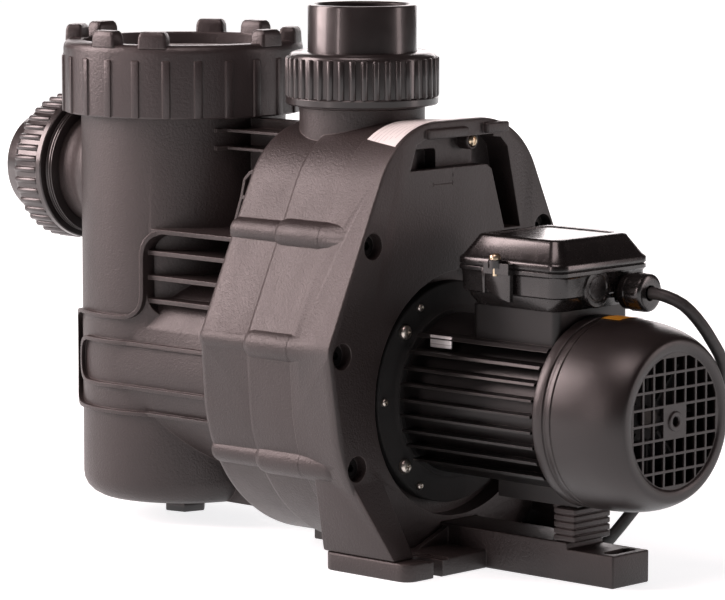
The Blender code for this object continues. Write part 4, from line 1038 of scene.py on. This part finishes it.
def cover_sticker():
    """Plain amber sticker bent over the cover's top, near side."""
    alone()
    bpy.ops.mesh.primitive_grid_add(x_subdivisions=12, y_subdivisions=24, size=2)
    made = settled("cover_sticker")
    for vertex in made.data.vertices:
        u, v = (vertex.co.x + 1) / 2, (vertex.co.y + 1) / 2
        a, x = radians(76 + 22 * v), 0.2170 + 0.0150 * u
        vertex.co = (x, 0.06212 * cos(a), MOTOR_Z + 0.06212 * sin(a))
    alone(made)
    if made.data.polygons[0].normal.z < 0:
        made.data.flip_normals()
    film = made.modifiers.new("film", "SOLIDIFY")
    film.thickness, film.offset = 0.00022, 1
    bpy.ops.object.modifier_apply(modifier=film.name)
    return ready(made, "pump", STICKER, (), 50)


def fan():
    """Cooling fan with eight straight blades, seen through the grille."""
    wheel = turned("cooling_fan", [(0.0073, 0.2300), (0.0480, 0.2300), (0.0480, 0.2324), (0.0160, 0.2334),
                                   (0.0160, 0.2440), (0.0150, 0.2460), (0.0073, 0.2460)], MOTOR_AT, "X", 96)
    blade = slab("blade", [(0.2312, MOTOR_Z + 0.0120), (0.2480, MOTOR_Z + 0.0140), (0.2480, MOTOR_Z + 0.0440),
                           (0.2440, MOTOR_Z + 0.0465), (0.2312, MOTOR_Z + 0.0465)], -0.0010, 0.0010, "Y")
    join(wheel, around("blades", blade, MOTOR_AT, "X", [tau * k / 8 for k in range(8)]))
    # Painted shade: the fan takes the near-black finish.
    return ready(wheel, "rotor_set", SHADE_BLACK, "fan")


# ---------------------------------------------------------------- terminal box

def box_loop(inset, z, radius=0.010):
    x, y = (BOX_LOW.x + inset, BOX_HIGH.x - inset), (LID_LOW.y + inset, LID_HIGH.y - inset)
    return [(px, py, z) for px, py in rounded(x, y, radius)]


def box_base():
    low = BOX_LOW.z
    rows = ((0.0085, low), (0.0052, low + 0.0055), (0.0045, 0.1850), (0.0026, 0.1854), (0.0018, 0.1862),
            (0.0012, 0.1980), (0.0008, 0.1990), (0.0, 0.1996), (0.0, 0.2018), (0.0004, BOX_HIGH.z))
    base = skinned("junction_box", [box_loop(*row) for row in rows])
    face = BOX_HIGH.x
    boss = turned("boss", [(0, face - 0.010), (0.0125, face - 0.010), (0.0125, face - 0.0009),
                           (0.0117, face - 0.0002), (0.0092, face - 0.0002), (0.0088, face - 0.0008),
                           (0.0080, face - 0.0008), (0.0076, face - 0.0002), (0, face - 0.0002)],
                  (0, -0.008, 0.1900), "X", 64)
    join(base, cut(boss, brick("trim", (0.19, 0.23), (-0.03, 0.02), (0.2018, 0.23))))
    cut(base, skinned("inside", [box_loop(0.0120, 0.1800, 0.006), box_loop(0.0060, 0.1880, 0.006),
                                 box_loop(0.0050, 0.21, 0.006)]),
        drum("gland_hole", 0.0082, 0.19, 0.23, (0, GLAND_Y, GLAND_Z), "X", 48))
    return ready(base, "pump", FINISH["box_plastic"], "terminal_box_base")


def box_lid():
    low, top = LID_LOW.z, LID_HIGH.z
    rows = ((0.0004, low), (0.0, low + 0.0004), (0.0, 0.2062), (0.0004, 0.2072), (0.0014, 0.2082),
            (0.0024, 0.2092), (0.0092, 0.2196), (0.0098, 0.2208), (0.0106, 0.2216), (0.0120, top))
    made = skinned("junction_box_lid", [box_loop(*row, 0.010 - row[0] * 0.3) for row in rows])
    cut(made, skinned("inside", [box_loop(0.0050, 0.19, 0.006), box_loop(0.0050, 0.2060, 0.006),
                                 box_loop(0.0125, 0.2190, 0.005)]),
        skinned("panel", [box_loop(0.0166, 0.2213, 0.003), box_loop(0.0158, 0.2300, 0.004)]))
    return ready(made, "pump", FINISH["box_plastic"], "terminal_box_lid")


def box_seal():
    made = skinned("box_seal", [box_loop(0.0010, 0.2024), box_loop(0.0010, 0.2028)])
    cut(made, skinned("window", [box_loop(0.0048, 0.19, 0.006), box_loop(0.0048, 0.22, 0.006)]))
    return ready(made, "pump", FINISH["rubber"], "terminal_box_gasket")


def box_clip(side, s):
    """Strap with a wedge foot and a dome-headed screw over its bent top."""
    y0, y1 = sorted((s * (LID_HIGH.y + 0.0003), s * (LID_HIGH.y + 0.0056)))
    name = "box_clip_" + side
    clip = brick(name, (0.1545, 0.1755), (y0, y1), (0.1990, 0.2062))
    wedge = [(0.1545, 0.2010), (0.1755, 0.2010), (0.1755, 0.1815), (0.1660, 0.1835), (0.1545, 0.1895)]
    foot = slab("wedge", wedge, *sorted((s * (LID_HIGH.y + 0.0003), s * (LID_HIGH.y + 0.0040))), "Y")
    strap = brick("strap", (0.1500, 0.1532), sorted((s * (LID_HIGH.y + 0.0003), s * (LID_HIGH.y + 0.0028))),
                  (0.1860, 0.2020))
    join(clip, eased(foot, 0.0006), brick("link", (0.1515, 0.1560), sorted((s * (LID_HIGH.y + 0.0003),
                                                                            s * (LID_HIGH.y + 0.0022))),
                                          (0.1985, 0.2005)), eased(strap, 0.0004))
    well = turned("well", [(0, 0.2030), (0.0046, 0.2030), (0.0046, 0.2078), (0.0040, 0.2084), (0, 0.2084)],
                  (0.1633, s * (LID_HIGH.y + 0.0042), 0), steps=48)
    join(clip, well)
    ready(clip, "pump", FINISH["box_plastic"], "lid_clip_" + side)
    dome_screw("box_screw_" + side, (0.1633, s * (LID_HIGH.y + 0.0042), 0), "Z", 0.2078, 0.0037, 0.0044,
               BRASSY, "clip_screw_" + side, 0.010)


def gland():
    at, face = (0, GLAND_Y, GLAND_Z), BOX_HIGH.x
    body = turned("cable_gland", [(0.0045, face - 0.0075), (0.0078, face - 0.0075), (0.0078, face + 0.0003),
                                  (0.0112, face + 0.0003), (0.0118, face + 0.0009), (0.0118, face + 0.0054),
                                  (0.0112, face + 0.0060), (0.0090, face + 0.0060), (0.0090, face + 0.0120),
                                  (0.0045, face + 0.0120)], at, "X", 64)
    ready(body, "pump", FINISH["box_plastic"], "gland_body")
    nut = turned("cable_gland_nut",
                 [(0.0094, face + 0.0063), (0.0118, face + 0.0063), (0.0125, face + 0.0071),
                  (0.0125, face + 0.0165), (0.0121, face + 0.0178),
                  (0.0110, face + 0.0187),
                  (0.0095, face + 0.0190), (0.0052, face + 0.0190),
                  (0.0046, face + 0.0184),
                  (0.0046, face + 0.0123), (0.0094, face + 0.0123)], at, "X", 72)
    groove = drum("groove", 0.0009, face + 0.0062, face + 0.0150, (0, GLAND_Y + 0.0129, GLAND_Z), "X", 12)
    cut(nut, around("grooves", groove, at, "X", [tau * k / 16 for k in range(16)]))
    ready(nut, "pump", FINISH["box_plastic"], "gland_nut")


# ---------------------------------------------------------------- base

def base():
    step, low_top, top = 0.1972, 0.0212, 0.0255
    side = [(RAIL_FRONT, 0.0), (RAIL_REAR, 0.0), (RAIL_REAR, low_top), (step, low_top), (step, top),
            (RAIL_FRONT, top)]
    rail = slab("base_rail", side, -0.018, 0.018, "Y")
    foot = slab("foot", rounded((0.052, 0.128), (-0.0935, 0.0935), 0.009), 0.0, 0.0120, "Z")
    eased(rail, 0.0012, segments=3)
    eased(foot, 0.0012, segments=3)
    join(rail, foot)
    rib = [(-0.0180, 0.0110), (-0.0500, 0.0110), (-0.0180, 0.0235)]
    for s in (-1, 1):
        join(rail, slab("foot_rib", [(s * y, z) for y, z in rib], 0.0905, 0.0945, "X"))
    for y in (-0.0645, 0.0645):
        cut(rail, slab("slot", rounded((0.104, 0.150), (y - 0.0045, y + 0.0045), 0.0044), -0.01, 0.03, "Z"),
            slab("spot_face", rounded((0.098, 0.160), (y - 0.0100, y + 0.0100), 0.0095), 0.0108, 0.03, "Z"))
    cut(rail, slab("recess", rounded((0.2210, 0.2312), (-0.0128, 0.0128), 0.0045), 0.0130, 0.03, "Z"))
    return ready(rail, "pump", FINISH["casing_plastic"], "pump_base")


def support():
    """Block of five rounded layers under the motor's foot."""
    low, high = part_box("motor_support")
    tall, loops = (high.z - low.z) / 5, []
    for k in range(5):
        for share, inset in ((0.0, 0.0012), (0.10, 0.0004), (0.22, 0.0), (0.78, 0.0), (0.90, 0.0004)):
            x, y = (low.x + inset, high.x - inset), (low.y + inset, high.y - inset)
            loops.append([(px, py, low.z + (k + share) * tall) for px, py in rounded(x, y, 0.0015, 4)])
    x, y = (low.x + 0.0012, high.x - 0.0012), (low.y + 0.0012, high.y - 0.0012)
    loops.append([(px, py, high.z) for px, py in rounded(x, y, 0.0015, 4)])
    made = skinned("support_block", loops)
    return ready(made, "pump", FINISH["casing_plastic"], "motor_support")


# ---------------------------------------------------------------- mains lead

def smooth_path(corners, spacing):
    """Points at even steps along a Catmull-Rom curve through the corners."""
    dense = []
    padded = [corners[0]] + corners + [corners[-1]]
    for k in range(len(corners) - 1):
        a, b, c, d = (Vector(p) for p in padded[k:k + 4])
        for i in range(24):
            t = i / 24
            dense.append(0.5 * ((2 * b) + (c - a) * t + (2 * a - 5 * b + 4 * c - d) * t * t
                                + (3 * b - 3 * c + d - a) * t ** 3))
    dense.append(Vector(corners[-1]))
    lengths = np.cumsum([0.0] + [(q - p).length for p, q in zip(dense, dense[1:])])
    count = max(2, round(lengths[-1] / spacing))
    points = []
    for goal in np.linspace(0, lengths[-1], count + 1):
        i = min(int(np.searchsorted(lengths, goal, side="right")) - 1, len(dense) - 2)
        span = lengths[i + 1] - lengths[i]
        points.append(dense[i].lerp(dense[i + 1], (goal - lengths[i]) / span if span else 0))
    return points


def lead():
    """Lead from the gland down behind the fan cover, along the floor into a coil, and on to its plug."""
    exit_x, floor = BOX_HIGH.x + 0.0193, LEAD_D / 2 + 0.0003
    route = [(exit_x, GLAND_Y, GLAND_Z), (0.2430, GLAND_Y + 0.0008, GLAND_Z - 0.0008),
             (0.2560, 0.0290, 0.1780), (0.2640, 0.0430, 0.1580), (0.2620, 0.0590, 0.1340),
             (0.2400, 0.0690, 0.0980), (0.2180, 0.0710, 0.0720), (0.1960, 0.0620, 0.0460),
             (0.1820, 0.0520, 0.0240), (0.1680, 0.0510, 0.0090), (0.1540, 0.0600, floor),
             (0.1420, 0.0820, floor), (0.1260, 0.1080, floor), (0.0980, 0.1290, floor),
             (0.0560, 0.1390, floor), (0.0200, 0.1330, floor), (-0.0200, 0.1215, floor)]
    for k in range(int(COIL_TURNS * COIL_STEPS) + 1):
        a = radians(-90) + tau * k / COIL_STEPS
        route.append((COIL_AT.x + COIL_R * cos(a), COIL_AT.y + COIL_R * sin(a),
                      floor + COIL_RISE * k / COIL_STEPS))
    tail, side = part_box("mains_plug")[1].x, COIL_AT.y + COIL_R
    route += [(tail - 0.004, side, 0.0262), (tail - 0.018, side, PLUG_Z + 0.001),
              (tail - 0.0300, side, PLUG_Z)]
    points = smooth_path([Vector(p) for p in route], 0.006)
    curve = bpy.data.curves.new("mains_lead", "CURVE")
    curve.dimensions, curve.bevel_depth, curve.bevel_resolution = "3D", LEAD_D / 2, 5
    curve.use_fill_caps = True
    line = curve.splines.new("POLY")
    line.points.add(len(points) - 1)
    for spot, p in zip(line.points, points):
        spot.co = (*p, 1)
    line.use_smooth = True
    made = bpy.data.objects.new("mains_lead", curve)
    bpy.context.scene.collection.objects.link(made)
    curve.materials.append(FINISH["lead_rubber"])
    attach(made, "pump")
    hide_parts("mains_cable", "cable_coil")
    length = sum((q - p).length for p, q in zip(points, points[1:]))
    return made, points[0], length


def mains_plug():
    """Straight two-pin plug with a ribbed tail and a flared face."""
    tail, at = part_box("mains_plug")[1].x, (0, COIL_AT.y + COIL_R, PLUG_Z)
    profile = [(0, -0.0240), (0.0050, -0.0240)]
    for k in range(5):
        x = -0.0255 - 0.0034 * k
        profile += [(0.0058 + 0.0004 * k, x), (0.0062 + 0.0004 * k, x - 0.0008),
                    (0.0058 + 0.0004 * k, x - 0.0018), (0.0052 + 0.0004 * k, x - 0.0024)]
    profile += [(0.0100, -0.0440), (0.0140, -0.0475), (0.0165, -0.0520), (0.0172, -0.0580), (0.0176, -0.0640),
                (0.0186, -0.0720), (0.0193, -0.0765), (0.0186, -0.0780), (0, -0.0780)]
    body = turned("two_pin_plug", [(r, tail + x) for r, x in profile], at, "X", 72)
    for s in (-1, 1):
        join(body, turned("sleeve", [(0, tail - 0.0870), (0.0024, tail - 0.0870), (0.0024, tail - 0.0770),
                                     (0, tail - 0.0770)], (0, at[1] + s * 0.0095, at[2]), "X", 32))
    ready(body, "pump", FINISH["lead_rubber"], "mains_plug")
    pins = []
    for k, s in enumerate((-1, 1), 1):
        pin = turned("plug_pin_%d" % k, [(0, tail - 0.0970), (0.0012, tail - 0.0968), (0.0021, tail - 0.0958),
                                         (0.0024, tail - 0.0945), (0.0024, tail - 0.0868),
                                         (0, tail - 0.0868)],
                     (0, at[1] + s * 0.0095, at[2]), "X", 32)
        pins.append(ready(pin, "pump", FINISH["stainless_steel"], ()))
    return body, pins


# ---------------------------------------------------------------- stage

def camera():
    data = bpy.data.cameras.new("camera")
    data.lens, data.sensor_width = 212.9, 36
    data.clip_start, data.clip_end = 0.05, 60
    made = bpy.data.objects.new("camera", data)
    bpy.context.scene.collection.objects.link(made)
    a, e = radians(43.26), radians(7.18)
    back = Vector((sin(a) * cos(e), -cos(a) * cos(e), sin(e)))
    made.location = (1.9572, -2.0795, 0.5234)
    made.rotation_euler = (-back).to_track_quat("-Z", "Y").to_euler()
    bpy.context.scene.camera = made


def panel(name, place, aim, size, power, colour=(1, 1, 1)):
    data = bpy.data.lights.new(name, "AREA")
    data.shape, data.size, data.size_y = "RECTANGLE", *size
    data.energy, data.color = power, colour
    made = bpy.data.objects.new(name, data)
    bpy.context.scene.collection.objects.link(made)
    made.location = place
    made.rotation_euler = (Vector(aim) - Vector(place)).to_track_quat("-Z", "Y").to_euler()
    made.visible_camera = False
    return made


def floor():
    alone()
    bpy.ops.mesh.primitive_plane_add(size=60, location=(0, 0, 0))
    made = settled("studio_floor")
    f = Finish("studio_floor", 0.9)
    fleck = f.noise(3, 3)
    f.feed(Base_Color=f.mix(fleck, (0.60, 0.60, 0.60), (0.63, 0.63, 0.63)), Roughness=0.85 + fleck * 0.1)
    # Painted light: the floor glows, at 0.8 within about 0.55 m of the middle and rising to full white by about
    # 1.7 m, so it reads white far off while shadows still show near the pump.
    x, y, _ = f.axes()
    far = (x * x + y * y).between(0.30, 3.0)
    f.feed(Emission_Color=f.mix(far, (0.80, 0.80, 0.81), (1, 1, 1)))
    f.shader.inputs["Emission Strength"].default_value = 1.0
    f.shader.inputs["Specular IOR Level"].default_value = 0.1
    made.data.materials.append(f.relief(fleck, 0.05, 0.0002))


def light():
    world = bpy.data.worlds.new("studio")
    bpy.context.scene.world = world
    world.use_nodes = True
    sky = world.node_tree.nodes["Background"]
    warm = (1, 0.80, 0.79)
    sky.inputs["Color"].default_value = (*warm, 1)
    sky.inputs["Strength"].default_value = 0.045
    panel("key_left", (-1.5, -1.1, 1.05), (-0.05, 0, 0.17), (1.0, 1.3), 56, warm)
    panel("behind", (-2.4, 2.6, 1.2), (0.0, 0, 0.25), (3.4, 1.6), 52, (1, 0.92, 0.92))
    panel("rim_right", (1.9, 1.5, 0.7), (0.15, 0, 0.12), (0.5, 1.2), 10, warm)
    panel("overhead", (0.3, -0.7, 1.9), (0.05, 0, 0.1), (1.0, 0.8), 13, warm)
    panel("strip", (-0.35, -2.3, 0.75), (-0.05, 0, 0.25), (0.16, 1.2), 9, warm)
    bpy.context.scene.view_settings.view_transform = "Standard"


camera()
lead_piece, lead_exit, lead_length = lead()
plug_piece, pin_pieces = mains_plug()
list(pin_pieces)
strainer_pot()
lid_nut()
lid()
ring_seal("lid_seal", 0.0665, 0.0015, (POT_X, 0, 0.3108), "Z", "lid", "lid_o_ring")
basket()
drain()
union_nut("suction_nut_ring", SUCTION_AT, "X", -1, 0.2724, 0.0208, "suction_nut", "suction_union_nut")
union_end("suction_spigot", SUCTION_AT, "X", -1, 0.2724, -SUCTION_END, "suction_union_end")
thread_ring()
union_nut("discharge_nut_ring", (0, 0, 0), "Z", 1, 0.3055, 0.0255, "discharge_nut", "discharge_union_nut")
union_end("discharge_spigot", (0, 0, 0), "Z", 1, 0.3055, DISCHARGE_TOP, "discharge_union_end")
case_front()
case_rear()
case_screws()
crest_label()
motor_front()
motor_body()
rating_plate()
cover()
cover_sticker()
fan()
box_base()
box_lid()
box_seal()
box_clip("near", -1)
box_clip("far", 1)
gland()
base()
support()
floor()
light()
